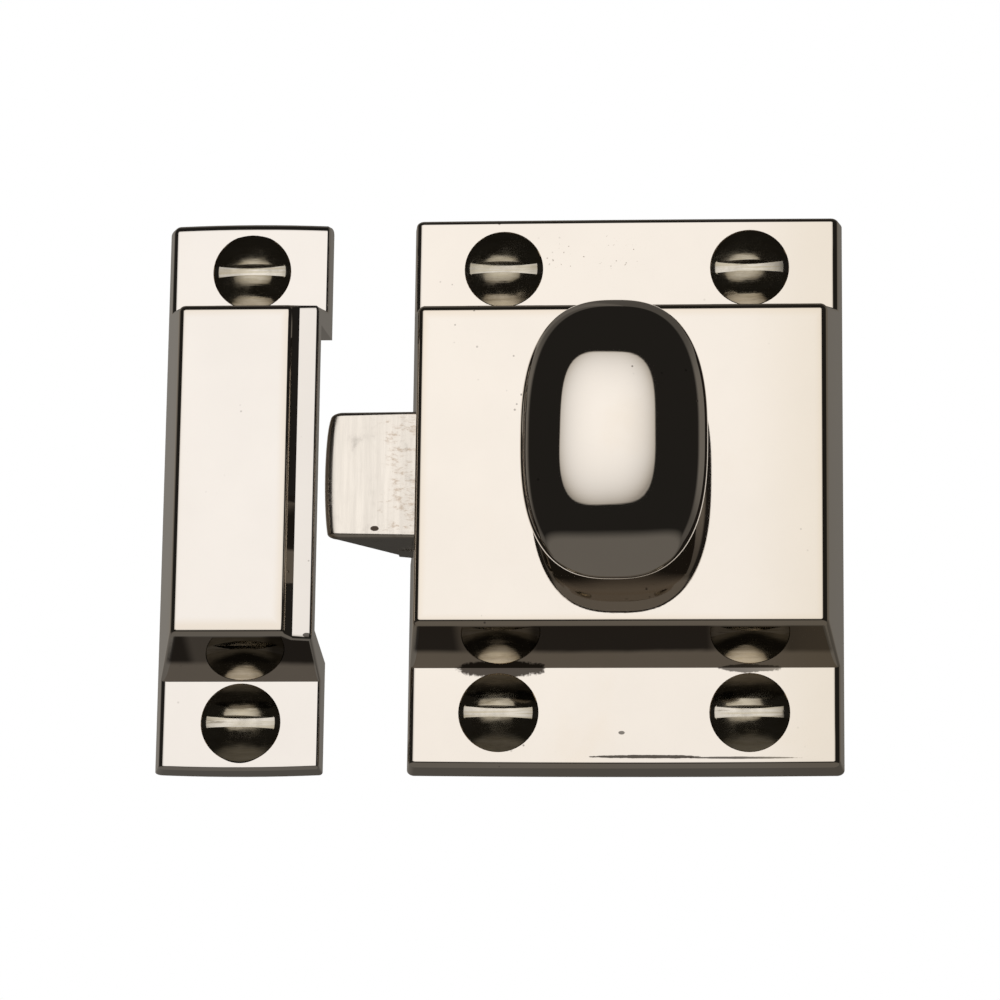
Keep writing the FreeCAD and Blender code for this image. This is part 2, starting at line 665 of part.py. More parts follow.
def make_bolt():
    body = new_body("bolt")
    slope = tangent(s.bolt_bevel_angle)
    tip = -BOLT_TIP
    foot = -BOLT_FOOT
    # The bevel falls from the tip to the foot at its own angle.
    bevel_end = BOLT_FRONT - s.bolt_tip_land - (BOLT_TIP - BOLT_FOOT) * slope
    head = new_sketch(body, "XZ_Plane", "bolt_head")
    add_outline(head, [
        (tip, BOLT_FRONT),
        (tip, BOLT_FRONT - s.bolt_tip_land),
        (foot, bevel_end),
        (foot, BOLT_BACK),
        (-HEAD_END, BOLT_BACK),
        (-HEAD_END, BOLT_FRONT),
    ])
    pad(body, head, s.bolt_half_height * 2, symmetric=True)

    def is_head_edge(edge):
        box = edge.BoundBox
        outside = box.XMin < -BOLT_TIP.value + 0.1
        return outside and box.ZMax > BOLT_FRONT.value - s.bolt_tip_land.value - 0.1

    dress(body, "Fillet", is_head_edge, s.bolt_edge_round / 2, "bolt_tip_edges")

    shoulder = -(CAVITY_HALF_WIDTH - s.sliding_play)
    tail = new_sketch(body, "XY_Plane", "bolt_tail", BOLT_BACK)
    foot_reach = s.bolt_foot_half_height
    tail_reach = TAIL_REACH
    add_outline(tail, [
        (foot, -foot_reach),
        (shoulder, -foot_reach),
        (shoulder, -tail_reach),
        (TAIL_END, -tail_reach),
        (TAIL_END, tail_reach),
        (shoulder, tail_reach),
        (shoulder, foot_reach),
        (foot, foot_reach),
    ])
    pad(body, tail, s.bolt_tail_thickness)
    crossbar = new_sketch(body, "XY_Plane", "bolt_crossbar", BOLT_BACK)
    add_box(crossbar, FOLLOWER, TAIL_END, -tail_reach, tail_reach)
    pad(body, crossbar, CROSSBAR_FRONT - BOLT_BACK)

    # The slot lets the cam's sleeve pass, and guides the tail on it.
    slot = new_sketch(body, "XY_Plane", "bolt_sleeve_slot", BOLT_BACK)
    add_slot(slot, -(TRAVEL + s.travel_margin), s.travel_margin,
             s.sleeve_radius + s.sliding_play)
    pocket(body, slot, s.bolt_tail_thickness)
    relief = new_sketch(body, "XY_Plane", "bolt_hub_relief", TAIL_FRONT)
    add_circle(relief, (ZERO, ZERO), HUB_RELIEF)
    pocket(body, relief, s.raised_height)
    seat = new_sketch(body, "YZ_Plane", "bolt_spring_bore", TAIL_END)
    add_circle(seat, (ZERO, SPRING_HEIGHT), s.spring_bore_radius)
    pocket(body, seat, TAIL_END - SPRING_SEAT, upward=False)
    return body


def involute(roll):
    """Point of the cam's flank for a roll angle, with the cam at rest."""
    base = s.travel_radius.value
    turn = math.pi / 2 + roll - s.roll_start.value
    across = base * (math.cos(turn) + roll * math.sin(turn))
    along = base * (math.sin(turn) - roll * math.cos(turn))
    return Vector(across, along, 0)


def make_cam():
    """A hub and sleeve with one lobe, whose flank is an involute of the travel radius."""
    body = new_body("cam")
    hub = new_sketch(body, "XY_Plane", "cam_hub", CAM_BACK)
    add_circle(hub, (ZERO, ZERO), s.cam_hub_radius)
    pad(body, hub, s.cam_thickness)
    lobe = new_sketch(body, "XY_Plane", "cam_lobe", CAM_BACK)
    roll_end = s.roll_start.value + math.radians(s.turn_angle.value)
    steps = 8
    flank = Part.BSplineCurve()
    flank.interpolate([involute(roll_end * step / steps) for step in range(steps + 1)])
    root, tip = involute(0), involute(roll_end)
    outer = tip + Vector(-s.cam_tip_width.value, 0, 0)
    back = Vector(-s.cam_lobe_width.value, 0, 0)
    # The crown stays low enough to clear the crossbar at the end of the turn.
    crown = (tip + outer) / 2 + Vector(0, s.cam_tip_width.value / 10, 0)
    lobe.addGeometry(flank)
    lobe.addGeometry(Part.Arc(tip, crown, outer))
    lobe.addGeometry(Part.LineSegment(outer, back))
    lobe.addGeometry(Part.LineSegment(back, Vector(0, 0, 0)))
    lobe.addGeometry(Part.LineSegment(Vector(0, 0, 0), root))
    pad(body, lobe, s.cam_thickness)
    sleeve = new_sketch(body, "XY_Plane", "cam_sleeve", s.sleeve_back)
    add_circle(sleeve, (ZERO, ZERO), s.sleeve_radius)
    pad(body, sleeve, CAM_BACK - s.sleeve_back)
    square = new_sketch(body, "XY_Plane", "cam_square", s.spindle_end - s.fixed_play * 4)
    reach = s.spindle_square / 2 + s.fixed_play
    add_box(square, -reach, reach, -reach, reach)
    pocket(body, square, CAM_FRONT)
    hole = new_sketch(body, "XY_Plane", "cam_screw_hole")
    radius = s.cam_screw_radius + s.fixed_play
    add_circle(hole, (ZERO, ZERO), radius)
    pocket(body, hole, s.spindle_end)
    sink = s.cam_screw_head + s.fixed_play - radius
    dress(body, "Chamfer", lambda edge: is_ring_at(edge, s.sleeve_back, radius), sink,
          "cam_countersink")
    return body


def make_cam_screw():
    body = make_flat_screw("cam_screw", s.cam_screw_head, s.cam_screw_radius,
                           s.cam_screw_length, s.cam_slot_width)
    bind(body, "Placement.Base.y", -s.sleeve_back)
    return body


def make_spindle():
    """Square in the cam, round in the case's bore, with a spigot for the knob."""
    body = new_body("spindle")
    square = new_sketch(body, "XY_Plane", "spindle_square", s.spindle_end)
    reach = s.spindle_square / 2
    add_box(square, -reach, reach, -reach, reach)
    pad(body, square, CAM_FRONT - s.spindle_end + PAST / 4)
    journal = new_sketch(body, "XY_Plane", "spindle_journal", CAM_FRONT + s.fixed_play)
    add_circle(journal, (ZERO, ZERO), s.spindle_radius)
    pad(body, journal, KNOB_FOOT - CAM_FRONT - s.fixed_play * 2)
    spigot = new_sketch(body, "XY_Plane", "spindle_spigot", KNOB_FOOT - PAST / 4)
    add_circle(spigot, (ZERO, ZERO), s.spigot_radius)
    pad(body, spigot, s.spigot_length + PAST / 4)
    tapped = new_sketch(body, "XY_Plane", "spindle_tapped_hole", s.spindle_end)
    add_circle(tapped, (ZERO, ZERO), s.cam_screw_radius + s.fixed_play)
    pocket(body, tapped, s.cam_screw_length - s.spindle_end + s.sleeve_back + PAST / 4)
    return body


def make_washer():
    body = new_body("spindle_washer")
    ring = new_sketch(body, "XY_Plane", "washer_ring",
                      CAM_FRONT + s.washer_play)
    add_circle(ring, (ZERO, ZERO), s.washer_radius)
    add_circle(ring, (ZERO, ZERO), s.spindle_radius + s.running_play)
    pad(body, ring, s.washer_thickness)
    return body


def add_oval(sketch, half_width, half_height, centre):
    """An oval of two side arcs and two end arcs that meet in line."""
    sin, cos = sine(s.knob_side_angle), cosine(s.knob_side_angle)
    one = as_size(1)
    end = (half_width * sin - half_height * (one - cos)) / (sin + cos - one)
    side = (half_width - end * cos) / (one - cos)
    across = end * cos
    along = half_height - end + end * sin
    corners = [(1, -1), (1, 1), (-1, 1), (-1, -1)]
    middles = [(1, 0), (0, 1), (-1, 0), (0, -1)]
    for index, corner in enumerate(corners):
        following = corners[(index + 1) % 4]
        start = Vector(corner[0] * across.value, corner[1] * along.value, 0)
        stop = Vector(following[0] * across.value, following[1] * along.value, 0)
        middle = Vector(middles[index][0] * half_width.value,
                        middles[index][1] * half_height.value, 0)
        place = Vector(centre[0].value, centre[1].value, 0)
        sketch.addGeometry(Part.Arc(place + start, place + middle, place + stop))
    close_loop(sketch, 0, 4)
    for index, corner in enumerate(corners):
        hold(sketch, index, 1, (centre[0] + across * corner[0], centre[1] + along * corner[1]))
        set_radius(sketch, index, end if index % 2 else side)


# Stations below the knob's rim: share of the drop to the neck's foot, and how much
# of the overhang beyond the neck is left there. The rim has a tall side wall.
KNOB_UNDERSIDE = [
    (1.0, 0.0), (0.86, 0.05), (0.7, 0.42), (0.56, 0.8), (0.42, 0.96),
]
# Angles round the dome, and the power that makes it fuller than an ellipse.
KNOB_DOME_ANGLES = (0, 16, 33, 49, 63, 75, 84)
KNOB_FULLNESS = 0.87


def make_knob():
    """A cast oval knob: lofted ovals from the round neck over the rim to the flat crown."""
    body = new_body("knob")
    neck = s.knob_neck_radius
    rim = s.raised_height + s.knob_rim_height
    sections = []
    for drop, left in KNOB_UNDERSIDE:
        level = rim - (rim - KNOB_FOOT) * drop
        width = neck + (s.knob_half_width - neck) * left
        height = neck + (s.knob_half_height - neck) * left
        sections.append((level, width, height, left))
    for degrees in KNOB_DOME_ANGLES:
        angle = math.radians(degrees)
        share = math.cos(angle) ** KNOB_FULLNESS
        level = rim + s.knob_dome * math.sin(angle) ** KNOB_FULLNESS
        sections.append((level, s.knob_half_width * share, s.knob_half_height * share, 1))
    sketches = []
    for index, (level, width, height, shift) in enumerate(sections, start=1):
        sketch = new_sketch(body, "XY_Plane", f"knob_section_{index}", level)
        centre = (-s.knob_shift_left * shift, s.knob_shift_up * shift)
        add_oval(sketch, width, height, centre)
        sketches.append(sketch)
    DOC.recompute()
    loft = body.newObject("PartDesign::AdditiveLoft", "knob_loft")
    loft.Profile = sketches[0]
    loft.Sections = sketches[1:]
    DOC.recompute()
    bore = new_sketch(body, "XY_Plane", "knob_bore", KNOB_FOOT)
    add_circle(bore, (ZERO, ZERO), s.spigot_radius + s.fixed_play)
    pocket(body, bore, s.spigot_length + s.spindle_shoulder_gap)
    return body


def make_spring():
    """A wire wound between the case's wall and the bore in the bolt."""
    length = CAVITY_HALF_WIDTH - SPRING_SEAT - s.spring_end_play * 2
    base = (CAVITY_HALF_WIDTH - s.spring_end_play, -SPRING_HEIGHT, ZERO)
    body = new_body("bolt_spring", base, Rotation(Vector(0, 1, 0), -90))
    wire = new_sketch(body, "XZ_Plane", "spring_wire")
    # Five flats stand for the round wire, to keep the coil's facets few.
    corners = []
    for index in range(5):
        angle = as_size(72 * index)
        across = s.spring_mean_radius + s.spring_wire_radius * cosine(angle)
        along = s.spring_wire_radius * sine(angle) + s.spring_wire_radius
        corners.append((across, along))
    add_outline(wire, corners)
    coil = body.newObject("PartDesign::AdditiveHelix", "spring_coil")
    coil.Profile = wire
    coil.ReferenceAxis = (wire, ["V_Axis"])
    coil.Mode = "height-turns-angle"
    bind(coil, "Height", length - s.spring_wire_radius * 2)
    bind(coil, "Turns", s.spring_turns)
    DOC.recompute()
    return body


def make_keeper():
    half_width = s.keeper_width / 2
    body = new_body("keeper", (KEEPER_MIDDLE, ZERO, ZERO))
    raised_blank(body, half_width, KEEPER_RISE_FOOT, KEEPER_RISE_TOP, ZERO)
    trim_sides(body, "keeper_draft", half_width, s.keeper_side_inset, None)
    lip = new_sketch(body, "XZ_Plane", "striking_lip")
    start = half_width - s.lip_width
    lip_top = s.raised_height - s.lip_shoulder_drop
    fall = s.lip_drop / (s.lip_width - s.lip_shoulder_width)
    edge = half_width + PAST
    add_outline(lip, [
        (start, s.raised_height),
        (start + s.lip_shoulder_width, lip_top),
        (edge, lip_top - s.lip_drop - fall * PAST),
        (edge, s.raised_height + PAST),
        (start, s.raised_height + PAST),
    ])
    pocket(body, lip, s.plate_length + PAST, symmetric=True)

    def is_lip_break(edge):
        box = edge.BoundBox
        level = abs(box.ZMin - s.raised_height.value) < 1e-3
        return level and box.XLength < 1e-3 and abs(box.XMin - start.value) < 1e-3

    dress(body, "Fillet", is_lip_break, s.lip_break_radius, "lip_break")
    dress(body, "Fillet", is_keeper_edge, s.edge_round, "keeper_edges")
    hollow = new_sketch(body, "XY_Plane", "keeper_pocket")
    add_box(hollow, -(half_width - s.pocket_wall), half_width + PAST * 3,
            -POCKET_HALF_LENGTH, POCKET_HALF_LENGTH)
    pocket(body, hollow, POCKET_HEIGHT, taper=-s.pocket_draft)
    shift = s.keeper_screw_shift
    cut_screw_holes(body, [(shift, -KEEPER_SCREW_ALONG), (shift, KEEPER_SCREW_ALONG)])
    return body


def is_keeper_edge(edge):
    """The keeper's outer edges, without the long ones of the lip's shoulder."""
    box = edge.BoundBox
    length = KEEPER_RISE_TOP.value
    inner = box.XMin > -0.3 * s.keeper_width.value and box.XMax < 0.45 * s.keeper_width.value
    long_soft = inner and box.YLength > length
    inner_corner = is_raised_foot(edge, KEEPER_RISE_FOOT, ZERO)
    return box.ZMax > 1e-3 and not long_soft and not inner_corner


def make_parts():
    parts = [
        make_case(),
        make_back_plate(),
        make_knob(),
        make_spindle(),
        make_washer(),
        make_cam(),
        make_cam_screw(),
        make_bolt(),
        make_spring(),
        make_keeper(),
    ]
    return parts + make_screws()


def check_document():
    for item in DOC.Objects:
        faults = [state for state in item.State if state in ("Invalid", "Error")]
        if faults:
            raise RuntimeError(f"{item.Name} is {faults}")


def check_parts(parts):
    for part in parts:
        if part.Shape.isNull() or not part.Shape.isValid():
            raise RuntimeError(f"{part.Label} has no valid shape")


def main():
    parts = make_parts()
    DOC.recompute()
    check_document()
    check_parts(parts)
    os.makedirs("parts", exist_ok=True)
    for part in parts:
        part.Shape.exportStep(f"parts/{part.Label}.step")
        solids = len(part.Shape.Solids)
        print(part.Label, "solids", solids, "volume", round(part.Shape.Volume, 2))


main()
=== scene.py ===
"""Cupboard catch with an oval turn knob: looks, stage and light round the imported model."""
import math

import bmesh
import bpy
from bpy.props import FloatProperty, FloatVectorProperty, PointerProperty
from mathutils import Matrix, Vector


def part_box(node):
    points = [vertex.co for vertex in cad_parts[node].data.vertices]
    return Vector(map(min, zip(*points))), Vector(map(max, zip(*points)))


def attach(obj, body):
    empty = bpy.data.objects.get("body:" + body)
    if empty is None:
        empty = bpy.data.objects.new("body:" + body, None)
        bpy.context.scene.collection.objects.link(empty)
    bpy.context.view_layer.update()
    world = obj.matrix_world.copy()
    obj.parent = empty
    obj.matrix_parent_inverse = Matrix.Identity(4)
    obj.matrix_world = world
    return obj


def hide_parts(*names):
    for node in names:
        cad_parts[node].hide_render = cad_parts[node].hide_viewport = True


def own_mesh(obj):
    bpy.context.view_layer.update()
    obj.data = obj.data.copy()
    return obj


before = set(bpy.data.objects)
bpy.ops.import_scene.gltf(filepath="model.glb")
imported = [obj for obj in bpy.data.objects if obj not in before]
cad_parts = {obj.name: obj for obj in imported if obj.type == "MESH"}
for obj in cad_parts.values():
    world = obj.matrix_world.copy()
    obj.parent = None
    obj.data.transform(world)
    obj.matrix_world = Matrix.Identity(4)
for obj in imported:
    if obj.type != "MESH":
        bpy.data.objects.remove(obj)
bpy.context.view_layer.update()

bl_info = {
    "name": "Cupboard catch",
    "version": (1, 0, 0),
    "blender": (4, 5, 0),
    "location": "View3D > Sidebar > Catch",
    "description": "Builds a cupboard catch with its knob, bolt, keeper, screws and stage",
    "category": "Object",
}

MM = 0.001

# Both castings, in millimetres: raised face and flange face above the mounting plane, half the
# length, and the height over which an end face leans by one.
FACE = 13.5
FLANGE = 3.6
HALF_LENGTH = 28.6
END_LEAN = 6.0
KEEPER_MIDDLE = -38.5
# Where the wood screws sit, in millimetres across and up.
CASE_SCREWS = ((-12.4, 22.8), (12.4, 22.8), (-12.4, -22.8), (12.4, -22.8))
KEEPER_SCREWS = ((-38.0, 22.7), (-38.0, -23.8))
# How far the keeper's details move down, by their height, all in millimetres.
KEEPER_DROP = ((-28.6, 0.0), (-27.4, 0.55), (-16.4, 0.55), (10.0, 0.0),
               (16.4, 0.0), (19.0, 0.55), (27.4, 0.55), (28.6, 0.0))
# The bolt in millimetres: its tip, its front face above the mounting plane, half its width
# across the face, and where its head ends towards the case.
BOLT_TIP = -29.15
BOLT_FRONT = 9.75
BOLT_REACH = 6.45
BOLT_HEAD_END = -22.6
# Dark patches on the castings' front faces: middle and half sizes in millimetres, strength.
# On the case the two at the slant's foot are painted shade in that crease, the tiny one is a
# dark spot, and the two thin lines near the lower flange's edge are painted reflections of its
# uneven polish. On the keeper it is a small nick.
CASE_SHADE_AND_MARKS = (((-12.2, -18.2), (4.6, 1.2), 0.97), ((12.6, -18.2), (3.6, 0.6), 0.85),
              ((-0.2, -24.8), (0.35, 0.2), 0.8), ((2.4, -27.2), (5.6, 0.2), 0.95),
              ((11.5, -27.3), (6.0, 0.12), 0.9))
KEEPER_BLOTS = (((-30.6, -16.75), (0.4, 0.22), 0.9),)
# Inputs of the knob and the screw that take the sizes of the same name.
KNOB_INPUTS = ("Half width", "Half height", "Left", "Up", "Rim", "Dome", "Foot", "Neck", "Bore",
               "Bore depth", "Fullness")
SCREW_INPUTS = ("Head", "Dome", "Neck", "Shank", "Core", "Smooth", "Length", "Point", "Pitch",
                "Slot", "Slot depth")
# The softbox in front, in degrees; positive azimuth is to the right.
SOFTBOX = {"azimuth": -6.4, "elevation": 14.5, "half_width": 28.3, "half_height": 22.0,
           "power": 2.8, "bright": (-7.0, 16.0)}
# The camera that fits the photo's edges: degrees from below, from the right and about its own
# axis; what it looks at in millimetres; how far away in metres; lens over sensor width.
CAMERA_TURNS = (13.52, 4.107, 0.731)
CAMERA_TARGET = (-12.76, 0.0, -0.315)
CAMERA_DISTANCE = 0.45654
CAMERA_LENS = 4.5336


def size(name, description, default):
    """A length that the user can change, in metres."""
    return FloatProperty(name=name, description=description, default=default, min=0.0, max=1.0,
                         precision=5, subtype="DISTANCE", unit="LENGTH")


def share(name, description, default, high=1.0):
    return FloatProperty(name=name, description=description, default=default, min=0.0, max=high)


def colour(name, description, default):
    return FloatVectorProperty(name=name, description=description, default=default, size=3,
                               min=0.0, max=1.0, subtype="COLOR")


class CatchSizes(bpy.types.PropertyGroup):
    """Sizes of the pieces that are made here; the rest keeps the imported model's sizes."""
    knob_half_width: size("Knob half width", "From the middle of the knob's oval to its side", 9.04 * MM)
    knob_half_height: size("Knob half height", "From the middle of the oval to its end", 13.74 * MM)
    knob_left: size("Knob shift left", "The cast oval sits to the left of the neck", 0.35 * MM)
    knob_up: size("Knob shift up", "The cast oval sits above the neck", 0.55 * MM)
    knob_rim: size("Knob rim", "Widest part of the knob above the mounting plane", 21.45 * MM)
    knob_dome: size("Knob dome", "Dome of the knob above its widest part", 4.575 * MM)
    knob_foot: size("Knob foot", "Foot of the knob above the mounting plane", 13.62 * MM)
    knob_neck: size("Knob neck", "Radius of the knob's neck", 4.6 * MM)
    knob_bore: size("Knob bore", "Radius of the hole for the spindle's spigot", 2.33 * MM)
    knob_bore_depth: size("Knob bore depth", "Depth of that hole", 6.12 * MM)
    knob_fullness: share("Knob fullness", "Below 1 the dome is fuller than an ellipse", 0.9)
    screw_head: size("Screw head", "Head radius of the wood screws", 3.9 * MM)
    screw_dome: size("Screw dome", "Raised part of the wood screw's head", 1.0 * MM)
    screw_neck: size("Screw neck", "Neck radius inside the flange", 2.3 * MM)
    screw_shank: size("Screw shank", "Radius of the smooth shank", 2.1 * MM)
    screw_core: size("Screw core", "Core radius under the thread", 1.4 * MM)
    screw_smooth: size("Smooth length", "From the head's rim to the thread", 6.2 * MM)
    screw_length: size("Screw length", "From the head's rim to the point", 19.0 * MM)
    screw_point: size("Screw point", "Length of the point", 3.2 * MM)
    screw_pitch: size("Thread pitch", "Distance between two turns of the thread", 1.75 * MM)
    screw_slot: size("Slot width", "Width of the slot in the head", 1.14 * MM)
    screw_slot_depth: size("Slot depth", "Depth of the slot below the top of the head", 0.78 * MM)
    flange: size("Flange", "Flange face above the mounting plane", FLANGE * MM)
    wire_radius: size("Spring wire", "Radius of the spring's wire", 0.28 * MM)
    coil_radius: size("Spring coil", "Radius of the coil, to the middle of the wire", 2.6 * MM)
    coil_turns: FloatProperty(name="Spring turns", description="Number of turns", default=5.0)


class CatchFinishes(bpy.types.PropertyGroup):
    """Colours and lights."""
    nickel: colour("Polished nickel", "Bright plating of case, keeper and knob", (0.80, 0.742, 0.676))
    keeper_nickel: colour("Keeper nickel", "The keeper's plating, a little whiter", (0.79, 0.745, 0.70))
    bolt_nickel: colour("Bolt nickel", "Brushed plating of the bolt", (0.79, 0.735, 0.668))
    screw_nickel: colour("Screw nickel", "Plating of the wood screws", (0.70, 0.655, 0.585))
    brass: colour("Sheet brass", "Back plate", (0.72, 0.58, 0.33))
    steel: colour("Steel", "Turned and milled steel", (0.56, 0.555, 0.54))
    spring: colour("Spring steel", "Drawn wire", (0.40, 0.40, 0.41))
    softbox: share("Softbox", "Brightness of the middle of the front softbox", 1.17, 5.0)
    surround: share("Surround", "Brightness of the dark studio in front", 0.016, 5.0)
    below: share("Below", "Brightness of the table in front, low in the reflections", 0.14, 5.0)
    behind: share("Behind", "Brightness of the room behind", 0.165, 5.0)


# Node helpers

def add_node(tree, kind, **values):
    node = tree.nodes.new(kind)
    for key, value in values.items():
        setattr(node, key, value)
    return node


def feed(tree, socket, value):
    """Links a socket to another, or sets its value; None leaves it as it is."""
    if isinstance(value, bpy.types.NodeSocket):
        tree.links.new(value, socket)
    elif value is not None:
        socket.default_value = value


def maths(tree, operation, *values):
    node = add_node(tree, "ShaderNodeMath", operation=operation)
    for socket, value in zip(node.inputs, values):
        feed(tree, socket, value)
    return node.outputs[0]


def plus(tree, first, *others):
    for other in others:
        first = maths(tree, "ADD", first, other)
    return first


def times(tree, first, *others):
    for other in others:
        first = maths(tree, "MULTIPLY", first, other)
    return first


def minus(tree, first, second):
    return maths(tree, "SUBTRACT", first, second)


def absolute(tree, value):
    return maths(tree, "ABSOLUTE", value)


def apart(tree, value, middle):
    return absolute(tree, minus(tree, value, middle))


def split(tree, vector):
    """A vector's three numbers, by X, Y and Z."""
    node = add_node(tree, "ShaderNodeSeparateXYZ")
    feed(tree, node.inputs[0], vector)
    return node.outputs


def facing(tree):
    """Where the flat face itself points, by X, Y and Z."""
    return split(tree, add_node(tree, "ShaderNodeNewGeometry").outputs["True Normal"])


def noise(tree, vector, scale, detail=3.0, roughness=0.5, distortion=0.0):
    node = add_node(tree, "ShaderNodeTexNoise")
    feed(tree, node.inputs["Vector"], vector)
    node.inputs["Scale"].default_value = scale
    node.inputs["Detail"].default_value = detail
    node.inputs["Roughness"].default_value = roughness
    node.inputs["Distortion"].default_value = distortion
    return node.outputs["Fac"]


def stretched(tree, vector, scale, turn=(0.0, 0.0, 0.0)):
    node = add_node(tree, "ShaderNodeMapping")
    feed(tree, node.inputs["Vector"], vector)
    node.inputs["Scale"].default_value = scale
    node.inputs["Rotation"].default_value = turn
    return node.outputs["Vector"]


def linear(tree, value, low, high, start=0.0, stop=1.0, kind="LINEAR"):
    """Maps a value from low..high to start..stop, clamped."""
    node = add_node(tree, "ShaderNodeMapRange", interpolation_type=kind)
    feed(tree, node.inputs["Value"], value)
    for name, limit in (("From Min", low), ("From Max", high), ("To Min", start), ("To Max", stop)):
        feed(tree, node.inputs[name], limit)
    return node.outputs["Result"]


def ramp(tree, value, low, high, start=0.0, stop=1.0):
    """The same, eased at both ends."""
    return linear(tree, value, low, high, start, stop, "SMOOTHSTEP")


def mixed(tree, factor, first, second):
    node = add_node(tree, "ShaderNodeMix", data_type="RGBA")
    feed(tree, node.inputs["Factor"], factor)
    for socket, value in ((node.inputs[6], first), (node.inputs[7], second)):
        if isinstance(value, bpy.types.NodeSocket):
            feed(tree, socket, value)
        else:
            socket.default_value = (*value[:3], 1.0)
    return node.outputs[2]


def bump(tree, height, strength, distance, normal=None):
    node = add_node(tree, "ShaderNodeBump")
    feed(tree, node.inputs["Height"], height)
    feed(tree, node.inputs["Strength"], strength)
    feed(tree, node.inputs["Distance"], distance)
    feed(tree, node.inputs["Normal"], normal)
    return node.outputs["Normal"]


def tinted(base, factor):
    return tuple(min(1.0, value * factor) for value in base)


def placed(name, data):
    """A new object in the scene."""
    thing = bpy.data.objects.new(name, data)
    bpy.context.scene.collection.objects.link(thing)
    return thing


class Finish:
    """A metal finish with its own nodes, read in Object coordinates."""

    def __init__(self, name):
        self.material = bpy.data.materials.new(name)
        self.material.use_nodes = True
        self.tree = self.material.node_tree
        self.shader = self.tree.nodes["Principled BSDF"]
        self.shader.inputs["Metallic"].default_value = 1.0
        self.place = add_node(self.tree, "ShaderNodeTexCoord").outputs["Object"]

    def set(self, base, roughness, normal):
        for label, value in (("Base Color", base), ("Roughness", roughness), ("Normal", normal)):
            feed(self.tree, self.shader.inputs[label], value)
        return self.material


def ragged_patch(tree, axes, middle, radii, ragged, strength):
    """A ragged patch on the front, by its middle and half sizes across and up in millimetres."""
    across = maths(tree, "DIVIDE", minus(tree, axes["X"], middle[0] * MM), radii[0] * MM)
    along = maths(tree, "DIVIDE", minus(tree, axes["Z"], middle[1] * MM), radii[1] * MM)
    reach = plus(tree, times(tree, across, across), times(tree, along, along),
                 times(tree, minus(tree, ragged, 0.5), 1.5))
    return ramp(tree, reach, 1.0, 0.7, 0.0, strength)


